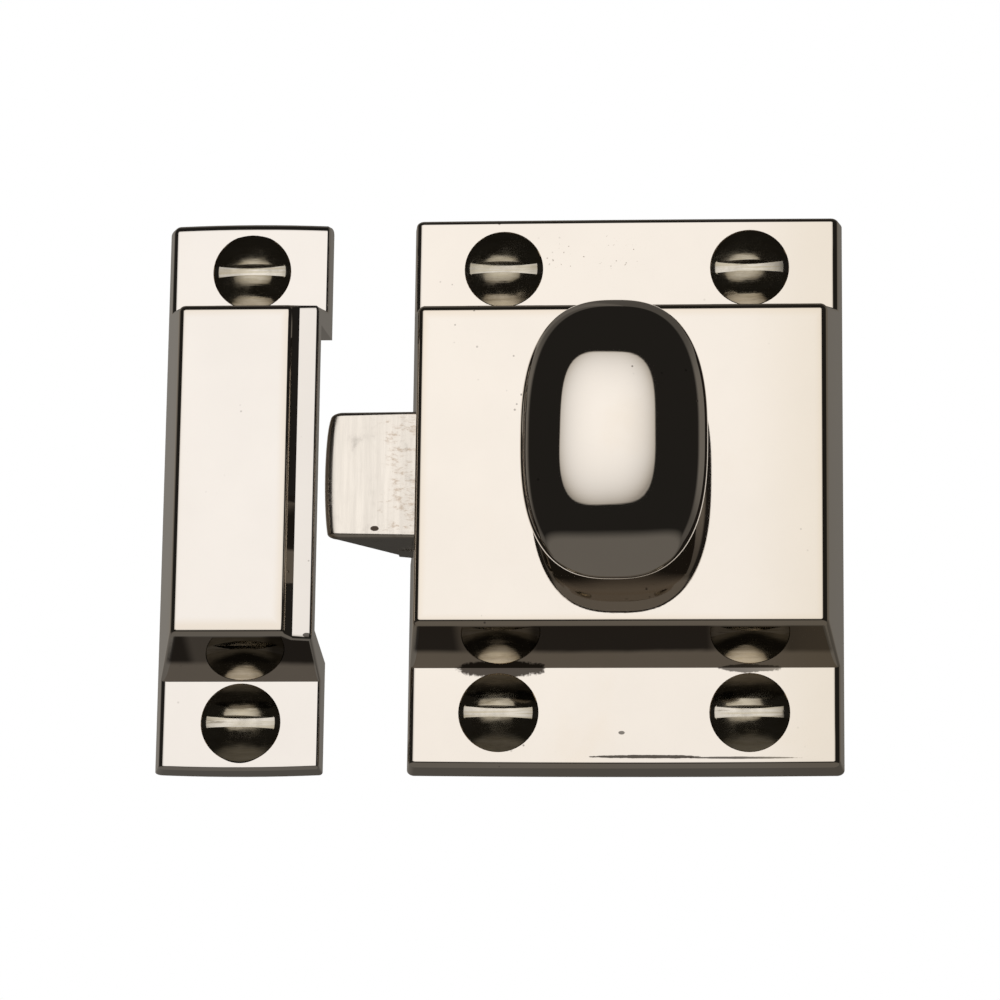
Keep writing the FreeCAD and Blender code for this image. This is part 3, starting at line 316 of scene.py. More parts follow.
def polished_nickel(name, base, haze=0.03, edges=None, top=0.0, head=0.0, shade_and_marks=()):
    """Mirror-polished plate over a casting: slight waves, faint wiping marks, small pits.

    A casting with a raised face also gets painted shade along that face's outline, a darker
    and warmer rim for the reflection of its rounded edges; near-black painted shade on the slant
    under that face; dark patches on its front faces, painted shade and painted reflections on
    the case and a nick on the keeper; filed rear faces; and painted shade towards the right
    edge of the case's face. Edges gives the face's half width, half length and middle in
    millimetres. The slant starts top below the middle, and its painted shade is lighter above
    the screw heads, which sit head away from the middle.
    """
    finish = Finish(name)
    tree, place = finish.tree, finish.place
    clouds = noise(tree, place, 90.0, 4.0, 0.6)
    film = noise(tree, place, 34.0, 5.0, 0.62, 0.6)
    tone = mixed(tree, ramp(tree, clouds, 0.3, 0.7), tinted(base, 0.985), tinted(base, 1.012))
    warm = (base[0] * 0.965, base[1] * 0.92, base[2] * 0.85)
    tone = mixed(tree, ramp(tree, film, 0.56, 0.78, 0.0, 0.5), tone, warm)
    wipes = noise(tree, stretched(tree, place, (1.0, 1.0, 9.0), (0.0, 0.5, 0.0)), 260.0, 3.0, 0.6)
    waves = noise(tree, place, 55.0, 1.0)
    normal = bump(tree, waves, 0.16, 0.0006)
    if edges is not None:
        half_width, half_length, middle = edges
        axes, faced = split(tree, place), facing(tree)
        across = apart(tree, axes["X"], middle * MM)
        along = absolute(tree, axes["Z"])
        inner = maths(tree, "MINIMUM", minus(tree, half_width * MM, across),
                      minus(tree, half_length * MM, along))
        # Painted shade: a darker, warmer rim on both sides of the raised face's outline, for the
        # reflection of its rounded edges.
        gap = plus(tree, absolute(tree, inner), times(tree, film, -0.0008))
        tone = mixed(tree, ramp(tree, gap, -0.0003, 0.0008, 0.7, 0.0), tone,
                     (base[0] * 0.92, base[1] * 0.87, base[2] * 0.79))
        # Painted shade: near-black colour on the slant under the raised face, next to that face, lighter
        # above the screw heads.
        low = times(tree, axes["Z"], -1.0)
        height = times(tree, axes["Y"], -1.0)
        under = ramp(tree, faced["Z"], -0.80, -0.93)
        raised = plus(tree, height, times(tree, film, 0.0025))
        beside = apart(tree, across, head * MM)
        band = times(tree, under, ramp(tree, raised, 0.0080, 0.0094),
                     ramp(tree, beside, 3.0 * MM, 4.2 * MM, 0.6, 1.0),
                     ramp(tree, low, (top - 0.3) * MM, top * MM), 0.96)
        tone = mixed(tree, band, tone, (0.035, 0.026, 0.02))
        ragged = noise(tree, place, 700.0, 4.0, 0.75)
        shown = ramp(tree, faced["Y"], -0.9, -0.97)
        # Dark patches on the front faces: on the case painted shade at the slant's foot and painted
        # reflections of the uneven polish, on the keeper a nick.
        for spot, radii, strength in shade_and_marks:
            dark_patch = times(tree, ragged_patch(tree, axes, spot, radii, ragged, strength), shown)
            tone = mixed(tree, dark_patch, tone, (0.05, 0.04, 0.032))
        specks = times(tree, ramp(tree, noise(tree, place, 2300.0, 2.0, 0.6), 0.66, 0.72),
                       ragged_patch(tree, axes, (-3.4, 24.4), (5.4, 2.0), film, 0.8))
        tone = mixed(tree, specks, tone, (0.25, 0.2, 0.16))
        rear = ramp(tree, faced["Y"], 0.3, 0.6)
        files = noise(tree, stretched(tree, place, (0.08, 1.0, 1.0), (0.0, 0.4, 0.0)), 1100.0, 3.0, 0.7)
        filed = mixed(tree, ramp(tree, files, 0.35, 0.7), tinted(base, 0.62), tinted(base, 0.9))
        tone = mixed(tree, rear, tone, filed)
        # Painted shade: darker and warmer towards the right edge of the case's raised face, where it
        # curves away.
        right_edge_shade = ramp(tree, axes["X"], 10.0 * MM, 20.0 * MM, 0.0, 0.4)
        tone = mixed(tree, right_edge_shade, tone, (base[0] * 0.84, base[1] * 0.80, base[2] * 0.70))
    grains = add_node(tree, "ShaderNodeTexVoronoi", feature="F1", distance="EUCLIDEAN")
    feed(tree, grains.inputs["Vector"], place)
    grains.inputs["Scale"].default_value = 900.0
    rare = noise(tree, place, 120.0, 2.0)
    pit = times(tree, ramp(tree, grains.outputs["Distance"], 0.14, 0.05),
                ramp(tree, rare, 0.63, 0.70))
    tone = mixed(tree, times(tree, pit, 0.75), tone, (0.16, 0.14, 0.12))
    rough = plus(tree, ramp(tree, film, 0.4, 0.8, haze * 0.6, haze * 1.9),
                 ramp(tree, wipes, 0.5, 0.85, 0.0, haze * 0.8))
    if edges is not None:
        rough = plus(tree, rough, times(tree, rear, ramp(tree, files, 0.3, 0.7, 0.26, 0.42)))
    normal = bump(tree, minus(tree, times(tree, wipes, 0.12), pit), 0.25, 0.00002, normal)
    return finish.set(tone, rough, normal)


def brushed_nickel(name, base):
    """Plating over a drawn bar: lines up and down, brown marks, one pit, painted shade on the underside.
    """
    finish = Finish(name)
    tree, place = finish.tree, finish.place
    lines = noise(tree, stretched(tree, place, (1.0, 1.0, 0.05)), 2600.0, 4.0, 0.65)
    broad = noise(tree, stretched(tree, place, (1.0, 1.0, 0.12)), 500.0, 3.0, 0.6)
    stains = noise(tree, place, 420.0, 5.0, 0.68, 0.4)
    tone = mixed(tree, ramp(tree, lines, 0.35, 0.7), tinted(base, 0.93), tinted(base, 1.02))
    axes = split(tree, place)
    rubbed = ramp(tree, axes["X"], -25.2 * MM, -22.4 * MM, 0.0, 0.2)
    streaks = noise(tree, stretched(tree, place, (0.45, 1.0, 1.0)), 1700.0, 5.0, 0.75)
    brown = ramp(tree, plus(tree, streaks, rubbed), 0.68, 0.86, 0.0, 0.6)
    tone = mixed(tree, brown, tone, (0.42, 0.31, 0.22))
    crumbs = noise(tree, place, 1900.0, 3.0, 0.7)
    pit = ragged_patch(tree, axes, (-24.4, -5.5), (0.44, 0.3), crumbs, 1.0)
    tone = mixed(tree, pit, tone, (0.06, 0.045, 0.035))
    # Painted shade: the faces turned down are darker.
    under = ramp(tree, facing(tree)["Z"], -0.7, -0.9, 0.0, 0.85)
    tone = mixed(tree, under, tone, tinted(base, 0.36))
    rough = plus(tree, ramp(tree, broad, 0.3, 0.75, 0.10, 0.24),
                 ramp(tree, stains, 0.5, 0.8, 0.0, 0.2))
    normal = bump(tree, lines, 0.35, 0.000012)
    return finish.set(tone, rough, normal)


def turned_metal(name, base, low=0.12, high=0.28, marks=2200.0, axis=1):
    """Turned or milled metal: fine rings of the tool, small stains."""
    finish = Finish(name)
    tree, place = finish.tree, finish.place
    scale = [0.06, 0.06, 0.06]
    scale[axis] = 1.0
    rings = noise(tree, stretched(tree, place, tuple(scale)), marks, 3.0, 0.6)
    stains = noise(tree, place, 260.0, 4.0, 0.6)
    tone = mixed(tree, ramp(tree, stains, 0.35, 0.75), tinted(base, 1.05), tinted(base, 0.80))
    rough = plus(tree, ramp(tree, rings, 0.3, 0.7, low, (low + high) / 2),
                 ramp(tree, stains, 0.4, 0.8, 0.0, (high - low) / 2))
    normal = bump(tree, rings, 0.3, 0.00002)
    return finish.set(tone, rough, normal)


def screw_nickel(name, base, rows):
    """Plated screws: tool scratches, dull patches, and painted shade on all but a band at the rows'
    heights, which leaves the slots brighter.
    """
    finish = Finish(name)
    tree, place = finish.tree, finish.place
    scratches = noise(tree, stretched(tree, place, (0.12, 1.0, 1.0), (0.0, 0.5, 0.0)), 1500.0, 4.0, 0.7)
    dull = noise(tree, place, 330.0, 4.0, 0.62)
    tone = mixed(tree, ramp(tree, dull, 0.4, 0.72), tinted(base, 1.05), tinted(base, 0.72))
    tone = mixed(tree, ramp(tree, scratches, 0.62, 0.76, 0.0, 0.75), tone, (0.22, 0.18, 0.13))
    axes = split(tree, place)
    away = apart(tree, axes["Z"], rows[0] * MM)
    for row in rows[1:]:
        away = maths(tree, "MINIMUM", away, apart(tree, axes["Z"], row * MM))
    drawn = noise(tree, stretched(tree, place, (0.05, 1.0, 1.0)), 3200.0, 3.0, 0.7)
    tone = mixed(tree, ramp(tree, drawn, 0.42, 0.62, 0.1, 0.75), tone, (0.5, 0.44, 0.32))
    # Painted shade: all but a band at each row's slot is darker, so the slots read brighter.
    shade_off_slots = ramp(tree, away, 0.5 * MM, 0.62 * MM, 0.0, 0.72)
    dark = mixed(tree, ramp(tree, scratches, 0.35, 0.7), (0.47, 0.41, 0.30), (0.3, 0.25, 0.17))
    tone = mixed(tree, shade_off_slots, tone, dark)
    rough = plus(tree, ramp(tree, dull, 0.35, 0.8, 0.07, 0.22),
                 ramp(tree, scratches, 0.5, 0.8, 0.0, 0.14))
    waves = bump(tree, noise(tree, place, 300.0, 2.0), 0.2, 0.0002)
    return finish.set(tone, rough, bump(tree, scratches, 0.3, 0.00002, waves))


# Geometry Nodes helpers

def smoothed(mesh, angle):
    """Shades smooth but for edges sharper than an angle in degrees."""
    mesh.polygons.foreach_set("use_smooth", [True] * len(mesh.polygons))
    mesh.set_sharp_from_angle(angle=math.radians(angle))
    return mesh


def shape_tree(name, *inputs):
    """A tree with named inputs and a material; returns it with its group input's sockets."""
    tree = bpy.data.node_groups.new(name, "GeometryNodeTree")
    tree.interface.new_socket(name="Geometry", in_out="INPUT", socket_type="NodeSocketGeometry")
    for label in inputs:
        tree.interface.new_socket(name=label, in_out="INPUT", socket_type="NodeSocketFloat")
    tree.interface.new_socket(name="Material", in_out="INPUT", socket_type="NodeSocketMaterial")
    tree.interface.new_socket(name="Geometry", in_out="OUTPUT", socket_type="NodeSocketGeometry")
    return tree, add_node(tree, "NodeGroupInput").outputs


def end_tree(tree, given, geometry):
    """Ends a tree in Realize Instances and Set Material."""
    realized = add_node(tree, "GeometryNodeRealizeInstances")
    feed(tree, realized.inputs["Geometry"], geometry)
    painted = add_node(tree, "GeometryNodeSetMaterial")
    feed(tree, painted.inputs["Geometry"], realized.outputs["Geometry"])
    feed(tree, painted.inputs["Material"], given["Material"])
    output = add_node(tree, "NodeGroupOutput")
    feed(tree, output.inputs["Geometry"], painted.outputs["Geometry"])
    return tree


def grown(name, tree, values, material, points=((0.0, 0.0, 0.0),), turns=(0.0,), angle=40.0):
    """Runs a tree on some points and returns the plain mesh."""
    seed = bpy.data.meshes.new(name)
    seed.from_pydata(points, [], [])
    turning = seed.attributes.new("turn", "FLOAT", "POINT")
    turning.data.foreach_set("value", turns)
    holder = placed(name + "_points", seed)
    modifier = holder.modifiers.new("shape", "NODES")
    modifier.node_group = tree
    for item in tree.interface.items_tree:
        if item.in_out == "INPUT" and item.name in values:
            modifier[item.identifier] = values[item.name]
        elif item.in_out == "INPUT" and item.name == "Material":
            modifier[item.identifier] = material
    graph = bpy.context.evaluated_depsgraph_get()
    mesh = bpy.data.meshes.new_from_object(holder.evaluated_get(graph), depsgraph=graph)
    mesh.name = name
    bpy.data.objects.remove(holder)
    for attribute in [a for a in mesh.attributes if a.name == "turn"]:
        mesh.attributes.remove(attribute)
    return smoothed(mesh, angle)


def joined(tree, x, y, z):
    node = add_node(tree, "ShaderNodeCombineXYZ")
    for socket, value in zip(node.inputs, (x, y, z)):
        feed(tree, socket, value)
    return node.outputs[0]


def unit_grid(tree, columns, rows):
    """A grid to be bent into a closed skin; gives the angle round and the share along."""
    grid = add_node(tree, "GeometryNodeMeshGrid")
    for axis, count in (("X", columns + 1), ("Y", rows + 1)):
        grid.inputs["Size " + axis].default_value = 1.0
        grid.inputs["Vertices " + axis].default_value = count
    place = split(tree, add_node(tree, "GeometryNodeInputPosition").outputs[0])
    around = times(tree, plus(tree, place["X"], 0.5), 2 * math.pi)
    along = plus(tree, place["Y"], 0.5)
    return grid.outputs["Mesh"], around, along


def bent(tree, mesh, position):
    """Moves the grid's points and joins its seam and its two poles."""
    moved = add_node(tree, "GeometryNodeSetPosition")
    feed(tree, moved.inputs["Geometry"], mesh)
    feed(tree, moved.inputs["Position"], position)
    merged = add_node(tree, "GeometryNodeMergeByDistance")
    feed(tree, merged.inputs["Geometry"], moved.outputs["Geometry"])
    merged.inputs["Distance"].default_value = 2e-6
    return merged.outputs["Geometry"]


# Mesh helpers

def new_piece(name, mesh, body, slot, *nodes):
    """A finished piece at the origin, riding on its body and standing for its nodes."""
    piece = placed(name, mesh)
    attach(piece, body)
    if nodes:
        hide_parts(*nodes)
    return piece


def finish_mesh(bm, name, material):
    mesh = bpy.data.meshes.new(name)
    bm.normal_update()
    bm.to_mesh(mesh)
    bm.free()
    mesh.materials.append(material)
    return smoothed(mesh, 30.0)


def merged_copy(node):
    """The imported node's mesh, its triangles joined into whole flat faces."""
    bm = bmesh.new()
    bm.from_mesh(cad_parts[node].data)
    bmesh.ops.remove_doubles(bm, verts=bm.verts, dist=2e-6)
    bmesh.ops.dissolve_limit(bm, angle_limit=math.radians(0.4), verts=bm.verts, edges=bm.edges)
    return bm


def sliced(bm, axis, places):
    """Cuts the faces across one axis, so that they can bend along it."""
    for place in places:
        point, normal = Vector(), Vector()
        point[axis], normal[axis] = place, 1.0
        everything = bm.verts[:] + bm.edges[:] + bm.faces[:]
        bmesh.ops.bisect_plane(bm, geom=everything, plane_co=point, plane_no=normal)


def widened(distance, rounding, soft, reach):
    """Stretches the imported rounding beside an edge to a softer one, up to a reach."""
    if distance < rounding:
        return max(distance, 0.0) * soft / rounding
    if distance < reach:
        return soft + (distance - rounding) * (reach - soft) / (reach - rounding)
    return distance


def flat_shaded(mesh, least=5e-6):
    """Faces of at least this area keep their own normal; the roundings between them are smooth."""
    faces = mesh.polygons
    around = [[] for _ in mesh.vertices]
    for face in faces:
        for vertex in face.vertices:
            around[vertex].append(face.index)
    normals = []
    for face in faces:
        for vertex in face.vertices:
            if face.area > least:
                normals.append(face.normal.copy())
                continue
            large = [faces[i] for i in around[vertex] if faces[i].area > least]
            near = max(large, key=lambda other: other.normal.dot(face.normal), default=None)
            if near is not None and near.normal.dot(face.normal) > 0.75:
                normals.append(near.normal.copy())
                continue
            mean = Vector()
            for i in around[vertex]:
                if faces[i].area <= least and faces[i].normal.dot(face.normal) > 0.8:
                    mean += faces[i].normal * faces[i].area
            normals.append(mean.normalized() if mean.length > 0 else face.normal.copy())
    mesh.normals_split_custom_set(normals)
    return mesh


def carried(node, material):
    """Gives a carried-over node its finish; its mesh stays as packed."""
    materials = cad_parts[node].data.materials
    materials.clear()
    materials.append(material)


def outward(mesh):
    """Turns a closed mesh's faces outward."""
    bm = bmesh.new()
    bm.from_mesh(mesh)
    bmesh.ops.recalc_face_normals(bm, faces=bm.faces)
    if bm.calc_volume(signed=True) < 0:
        bmesh.ops.reverse_faces(bm, faces=bm.faces)
    bm.to_mesh(mesh)
    bm.free()
    return mesh


def chosen(sizes, prefix, labels):
    """The user's sizes for the inputs of a shape, found by their names."""
    return {label: getattr(sizes, prefix + label.lower().replace(" ", "_")) for label in labels}


def evenly(first, gap, count):
    """Places at even gaps, given in millimetres."""
    return [(first + gap * step) * MM for step in range(count)]


# Pieces

def dropped(z, steps):
    """A height moved down by the drop between its two steps, in metres."""
    for (low, first), (high, last) in zip(steps, steps[1:]):
        if z <= high * MM + 1e-9:
            part = max(0.0, (z - low * MM) / ((high - low) * MM))
            return z - (first + (last - first) * part) * MM
    return z


def soft_casting(bm, half_width, side_slopes, middle, raised_ends, bow, end_slope):
    """Softens the edges that face the viewer, as polishing leaves them.

    Side slopes are those of the left and right side. Raised ends are the lower and upper end of
    the raised part, as its half length at the face and the slope below it. Bow is how far the
    corners of the flange ends lie behind their middle. The lower end face leans by the end slope.
    """
    face, flange, length = FACE * MM, FLANGE * MM, HALF_LENGTH * MM
    raised_edges, flange_edges = 11.0 * MM, 1.6 * MM
    rounding, end_reach, inner_reach = 0.35 * MM, 1.15 * MM, 1.6 * MM
    soft, flange_soft, end_soft = rounding * 2.2, rounding * 1.8, rounding * 1.6
    bow_start, bow_run, upper_bow = 20.0, 8.0, 0.4
    for vertex in bm.verts:
        x, height, z = vertex.co.x - middle, -vertex.co.y, vertex.co.z
        new_height = height
        if height > raised_edges:
            new_height = face - widened(face - height, rounding, soft, 2.2 * MM)
        elif flange_edges < height <= flange + 1e-6:
            new_height = flange - widened(flange - height, rounding, flange_soft, 1.8 * MM)
        side = 1.0 if x > 0 else -1.0
        slope = side_slopes[0 if x < 0 else 1]
        if slope is not None:
            gap = half_width - slope * height - abs(x)
            x = side * (half_width - slope * new_height - widened(gap, rounding, soft, 1.9 * MM))
        end = 1.0 if z > 0 else -1.0
        if height <= flange + 1e-6 and abs(z) > 24.0 * MM:
            gap = length - height / END_LEAN - abs(z)
            square = 0.0
            if z < 0:
                square = (1 / END_LEAN - end_slope) * new_height * max(0.0, 1.0 - gap / end_reach)
            inset = widened(gap, rounding, end_soft, end_reach)
            z = end * (length - new_height / END_LEAN - inset + square)
        elif height > raised_edges:
            top, slope = raised_ends[0 if z < 0 else 1]
            gap = top + slope * (face - height) - abs(z)
            if gap < inner_reach:
                inset = widened(gap, rounding, soft, inner_reach)
                z = end * (top + slope * (face - new_height) - inset)
        if abs(z) > bow_start * MM:
            part = min(1.0, (abs(z) / MM - bow_start) / bow_run)
            bent_out = bow * (upper_bow if z > 0 else 1.0) * part * part
            z -= end * bent_out * (abs(x) / half_width) ** 2
        vertex.co = Vector((x + middle, -new_height, z))


class CATCH_OT_case(bpy.types.Operator):
    """Cast and polished case with its end flanges"""
    bl_idname = "catch.case"
    bl_label = "Case"

    def execute(self, context):
        bm = merged_copy("case")
        sliced(bm, 0, evenly(-19.1, 5.47, 8))
        sliced(bm, 2, evenly(-14.2, 4.73, 7) + [-24.1 * MM, 24.1 * MM])
        side = 1.55 / FACE
        rise = 2.3 / 9.9
        soft_casting(bm, 21.7 * MM, (side, side), 0.0, ((16.0 * MM, rise), (16.2 * MM, rise)),
                     bow=0.12 * MM, end_slope=0.1)
        material = polished_nickel("case polished nickel", context.scene.catch_finishes.nickel,
                                   edges=(20.0, 15.9, 0.0), top=16.0, head=12.4, shade_and_marks=CASE_SHADE_AND_MARKS)
        mesh = finish_mesh(bm, "case_casting", material)
        new_piece("case_casting", flat_shaded(mesh), "case_body", "polished_nickel", "case")
        return {"FINISHED"}


class CATCH_OT_keeper(bpy.types.Operator):
    """Cast and polished keeper with its bevelled lip"""
    bl_idname = "catch.keeper"
    bl_label = "Keeper"

    def execute(self, context):
        bm = merged_copy("keeper")
        sliced(bm, 0, evenly(-45.3, 1.9, 8))
        sliced(bm, 2, evenly(-14.2, 4.73, 7))
        end = (16.4 * MM, 2.7 / 9.9)
        soft_casting(bm, 8.4 * MM, (3.0 / FACE, None), KEEPER_MIDDLE * MM, (end, end),
                     bow=0.35 * MM, end_slope=0.02)
        for vertex in bm.verts:
            vertex.co.z = dropped(vertex.co.z, KEEPER_DROP)
        material = polished_nickel("keeper polished nickel", context.scene.catch_finishes.keeper_nickel,
                                   edges=(5.6, 16.2, KEEPER_MIDDLE), top=16.9, head=0.3,
                                   shade_and_marks=KEEPER_BLOTS)
        mesh = finish_mesh(bm, "keeper_casting", material)
        new_piece("keeper_casting", flat_shaded(mesh), "case_body", "polished_nickel", "keeper")
        return {"FINISHED"}


def knob_tree():
    """A round bore and neck that spread into an oval with a tall rim and a full dome."""
    tree, given = shape_tree("turned oval knob", *KNOB_INPUTS)
    mesh, around, along = unit_grid(tree, 160, 100)
    # Along runs over the bore's floor to 0.03, its wall to 0.08, the foot's ring to 0.12, the
    # neck and the spreading side to 0.5, and the dome to 1.
    bore = linear(tree, along, 0.0, 0.03, 0.0, given["Bore"])
    ring = linear(tree, along, 0.08, 0.12, 0.0, minus(tree, given["Neck"], given["Bore"]))
    round_part = plus(tree, bore, ring)
    spread = plus(tree, linear(tree, along, 0.28, 0.47, 0.0, 0.95, "SMOOTHSTEP"),
                  linear(tree, along, 0.14, 0.5, 0.0, 0.05))
    turn = linear(tree, along, 0.5, 1.0, 0.0, math.pi / 2)
    left = maths(tree, "MAXIMUM", maths(tree, "COSINE", turn), 0.0)
    left = maths(tree, "POWER", left, given["Fullness"])
    risen = maths(tree, "POWER", maths(tree, "SINE", turn), given["Fullness"])
    level = plus(tree, given["Foot"], given["Bore depth"],
                 linear(tree, along, 0.03, 0.08, 0.0, times(tree, given["Bore depth"], -1.0)),
                 linear(tree, along, 0.12, 0.5, 0.0, minus(tree, given["Rim"], given["Foot"])),
                 times(tree, risen, given["Dome"]))
    power = plus(tree, linear(tree, along, 0.12, 0.40, 2.0, 2.62),
                 linear(tree, along, 0.5, 1.0, 0.0, -0.42))
    power = maths(tree, "DIVIDE", 2.0, power)
    spans = []
    for label, function, shift, sign in (("Half width", "COSINE", "Left", -1.0),
                                         ("Half height", "SINE", "Up", 1.0)):
        wave = maths(tree, function, around)
        curve = times(tree, maths(tree, "SIGN", wave),
                      maths(tree, "POWER", absolute(tree, wave), power))
        reach = times(tree, spread, minus(tree, given[label], given["Neck"]))
        reach = plus(tree, round_part, reach)
        moved = times(tree, spread, given[shift], sign)
        spans.append(plus(tree, times(tree, reach, left, curve), moved))
    place = joined(tree, spans[0], times(tree, level, -1.0), spans[1])
    return end_tree(tree, given, bent(tree, mesh, place))


class CATCH_OT_knob(bpy.types.Operator):
    """Oval turn knob, cast and polished"""
    bl_idname = "catch.knob"
    bl_label = "Knob"

    def execute(self, context):
        values = chosen(context.scene.catch_sizes, "knob_", KNOB_INPUTS)
        material = polished_nickel("knob polished nickel", context.scene.catch_finishes.nickel)
        mesh = outward(grown("turn_knob", knob_tree(), values, material))
        new_piece("turn_knob", mesh, "knob_body", "polished_nickel", "knob")
        return {"FINISHED"}


class CATCH_OT_bolt(bpy.types.Operator):
    """Bevelled spring bolt with rubbed, rounded edges"""
    bl_idname = "catch.bolt"
    bl_label = "Bolt"

    def execute(self, context):
        bm = merged_copy("bolt")
        tip, front, reach = BOLT_TIP * MM, BOLT_FRONT * MM, BOLT_REACH * MM
        rounding, front_reach, side_reach = 0.2 * MM, 0.9 * MM, 1.6 * MM
        sliced(bm, 2, [reach * step / 8 for step in range(-7, 8)])
        for vertex in bm.verts:
            x, height, z = vertex.co.x, -vertex.co.y, vertex.co.z
            if x > BOLT_HEAD_END * MM:
                continue
            if front - height < front_reach:
                height = front - widened(front - height, rounding, 0.68 * MM, front_reach)
            if abs(z) > reach - side_reach:
                inset = widened(reach - abs(z), rounding, 0.55 * MM, side_reach)
                z = math.copysign(reach - inset, z)
            out = widened(x - tip, rounding, 1.1 * MM, 2.8 * MM)
            part = abs(z) / reach
            bulge = (0.36 * (1.0 - part ** 2) - (0.34 if z > 0 else 0.1) * part ** 7) * MM
            x = tip + out - bulge * max(0.0, 1.0 - out / (3.2 * MM))
            vertex.co = Vector((x, -height, z))
        material = brushed_nickel("bolt brushed nickel", context.scene.catch_finishes.bolt_nickel)
        mesh = finish_mesh(bm, "latch_bolt", material)
        new_piece("latch_bolt", flat_shaded(mesh, 1.5e-6), "bolt_body", "bolt_nickel", "bolt")
        return {"FINISHED"}


def screw_tree():
    """A slotted countersunk screw as one closed skin with a winding thread, set on each point."""
    tree, given = shape_tree("slotted screw", "Neck end", *SCREW_INPUTS)
    rows = 200
    mesh, around, along = unit_grid(tree, 48, rows)

    def step(first, last, change):
        """A change that comes in between two of the rows."""
        return linear(tree, along, first / rows, last / rows, 0.0, change)

    # Rows from the top: dome to 12, rim to 14, cone to 20, neck to 24, shank to 30, thread to
    # 185, point to the end.
    core = plus(tree, step(0, 12, given["Head"]),
                step(14, 20, minus(tree, given["Neck"], given["Head"])),
                step(24, 25, minus(tree, given["Shank"], given["Neck"])),
                step(30, 34, minus(tree, given["Core"], given["Shank"])),
                step(185, rows, times(tree, given["Core"], -1.0)))
    edge = times(tree, given["Head"], 0.03)
    cone = minus(tree, given["Head"], given["Neck"])
    thread_end = minus(tree, given["Length"], given["Point"])
    dome = minus(tree, maths(tree, "POWER", step(0, 12, 1.0), 1.75), 1.0)
    depth = plus(tree, times(tree, dome, given["Dome"]),
                 step(12, 14, edge), step(14, 20, cone),
                 step(20, 24, minus(tree, minus(tree, given["Neck end"], cone), edge)),
                 step(25, 30, minus(tree, given["Smooth"], given["Neck end"])),
                 step(30, 185, minus(tree, thread_end, given["Smooth"])),
                 step(185, rows, given["Point"]))
    winding = minus(tree, maths(tree, "DIVIDE", depth, given["Pitch"]),
                    maths(tree, "DIVIDE", around, 2 * math.pi))
    ridge = linear(tree, maths(tree, "PINGPONG", winding, 0.5), 0.22, 0.5, 0.0,
                   minus(tree, given["Shank"], given["Core"]))
    run_in = linear(tree, depth, given["Smooth"], plus(tree, given["Smooth"], given["Pitch"]))
    run_out = linear(tree, depth, given["Length"], thread_end)
    radius = plus(tree, core, times(tree, ridge, times(tree, run_in, run_out)))
    place = joined(tree, times(tree, radius, maths(tree, "COSINE", around)), depth,
                   times(tree, radius, maths(tree, "SINE", around)))
    skin = bent(tree, mesh, place)
    blade = add_node(tree, "GeometryNodeMeshCube")
    tall = times(tree, given["Head"], 2.4)
    feed(tree, blade.inputs["Size"], joined(tree, tall, tall, given["Slot"]))
    lifted = add_node(tree, "GeometryNodeTransform")
    feed(tree, lifted.inputs["Geometry"], blade.outputs["Mesh"])
    floor = minus(tree, given["Slot depth"], given["Dome"])
    middle = minus(tree, floor, maths(tree, "DIVIDE", tall, 2.0))
    feed(tree, lifted.inputs["Translation"], joined(tree, 0.0, middle, 0.0))
    slotted = add_node(tree, "GeometryNodeMeshBoolean", operation="DIFFERENCE", solver="EXACT")
    feed(tree, slotted.inputs["Mesh 1"], skin)
    feed(tree, slotted.inputs["Mesh 2"], lifted.outputs["Geometry"])
    turned = add_node(tree, "GeometryNodeInputNamedAttribute", data_type="FLOAT")
    turned.inputs["Name"].default_value = "turn"
    copies = add_node(tree, "GeometryNodeInstanceOnPoints")
    feed(tree, copies.inputs["Points"], given["Geometry"])
    feed(tree, copies.inputs["Instance"], slotted.outputs["Mesh"])
    feed(tree, copies.inputs["Rotation"], joined(tree, 0.0, turned.outputs["Attribute"], 0.0))
    return end_tree(tree, given, copies.outputs["Instances"])


class CATCH_OT_wood_screws(bpy.types.Operator):
    """Raised countersunk slotted wood screws of the case and the keeper"""
    bl_idname = "catch.wood_screws"
    bl_label = "Wood screws"

    def execute(self, context):
        sizes = context.scene.catch_sizes
        nickel = context.scene.catch_finishes.screw_nickel
        values = {"Neck end": sizes.flange, **chosen(sizes, "screw_", SCREW_INPUTS)}
        tree = screw_tree()
        for name, node, places, turns in (
                ("case_wood_screws", "case_screws", CASE_SCREWS, (0.01, -0.012, 0.016, -0.006)),
                ("keeper_wood_screws", "keeper_screws", KEEPER_SCREWS, (-0.012, 0.014))):
            points = [(x * MM, -sizes.flange, z * MM) for x, z in places]
            material = screw_nickel(name + " nickel", nickel, sorted({z for x, z in places}))
            mesh = outward(grown(name, tree, values, material, points, turns, 35.0))
            new_piece(name, mesh, "case_body", "screw_nickel", node)
        return {"FINISHED"}


class CATCH_OT_inner_parts(bpy.types.Operator):
    """Finishes of the spindle, washer, cam, cam screw, back plate and its screws"""
    bl_idname = "catch.inner_parts"
    bl_label = "Inner parts"

    def execute(self, context):
        finishes = context.scene.catch_finishes
        steel = turned_metal("turned steel", finishes.steel)
        for node in ("spindle", "spindle_washer", "cam", "cam_screw", "back_plate_screws"):
            carried(node, steel)
        carried("back_plate", turned_metal("rolled brass sheet", finishes.brass, 0.2, 0.38, 1500.0, 2))
        return {"FINISHED"}


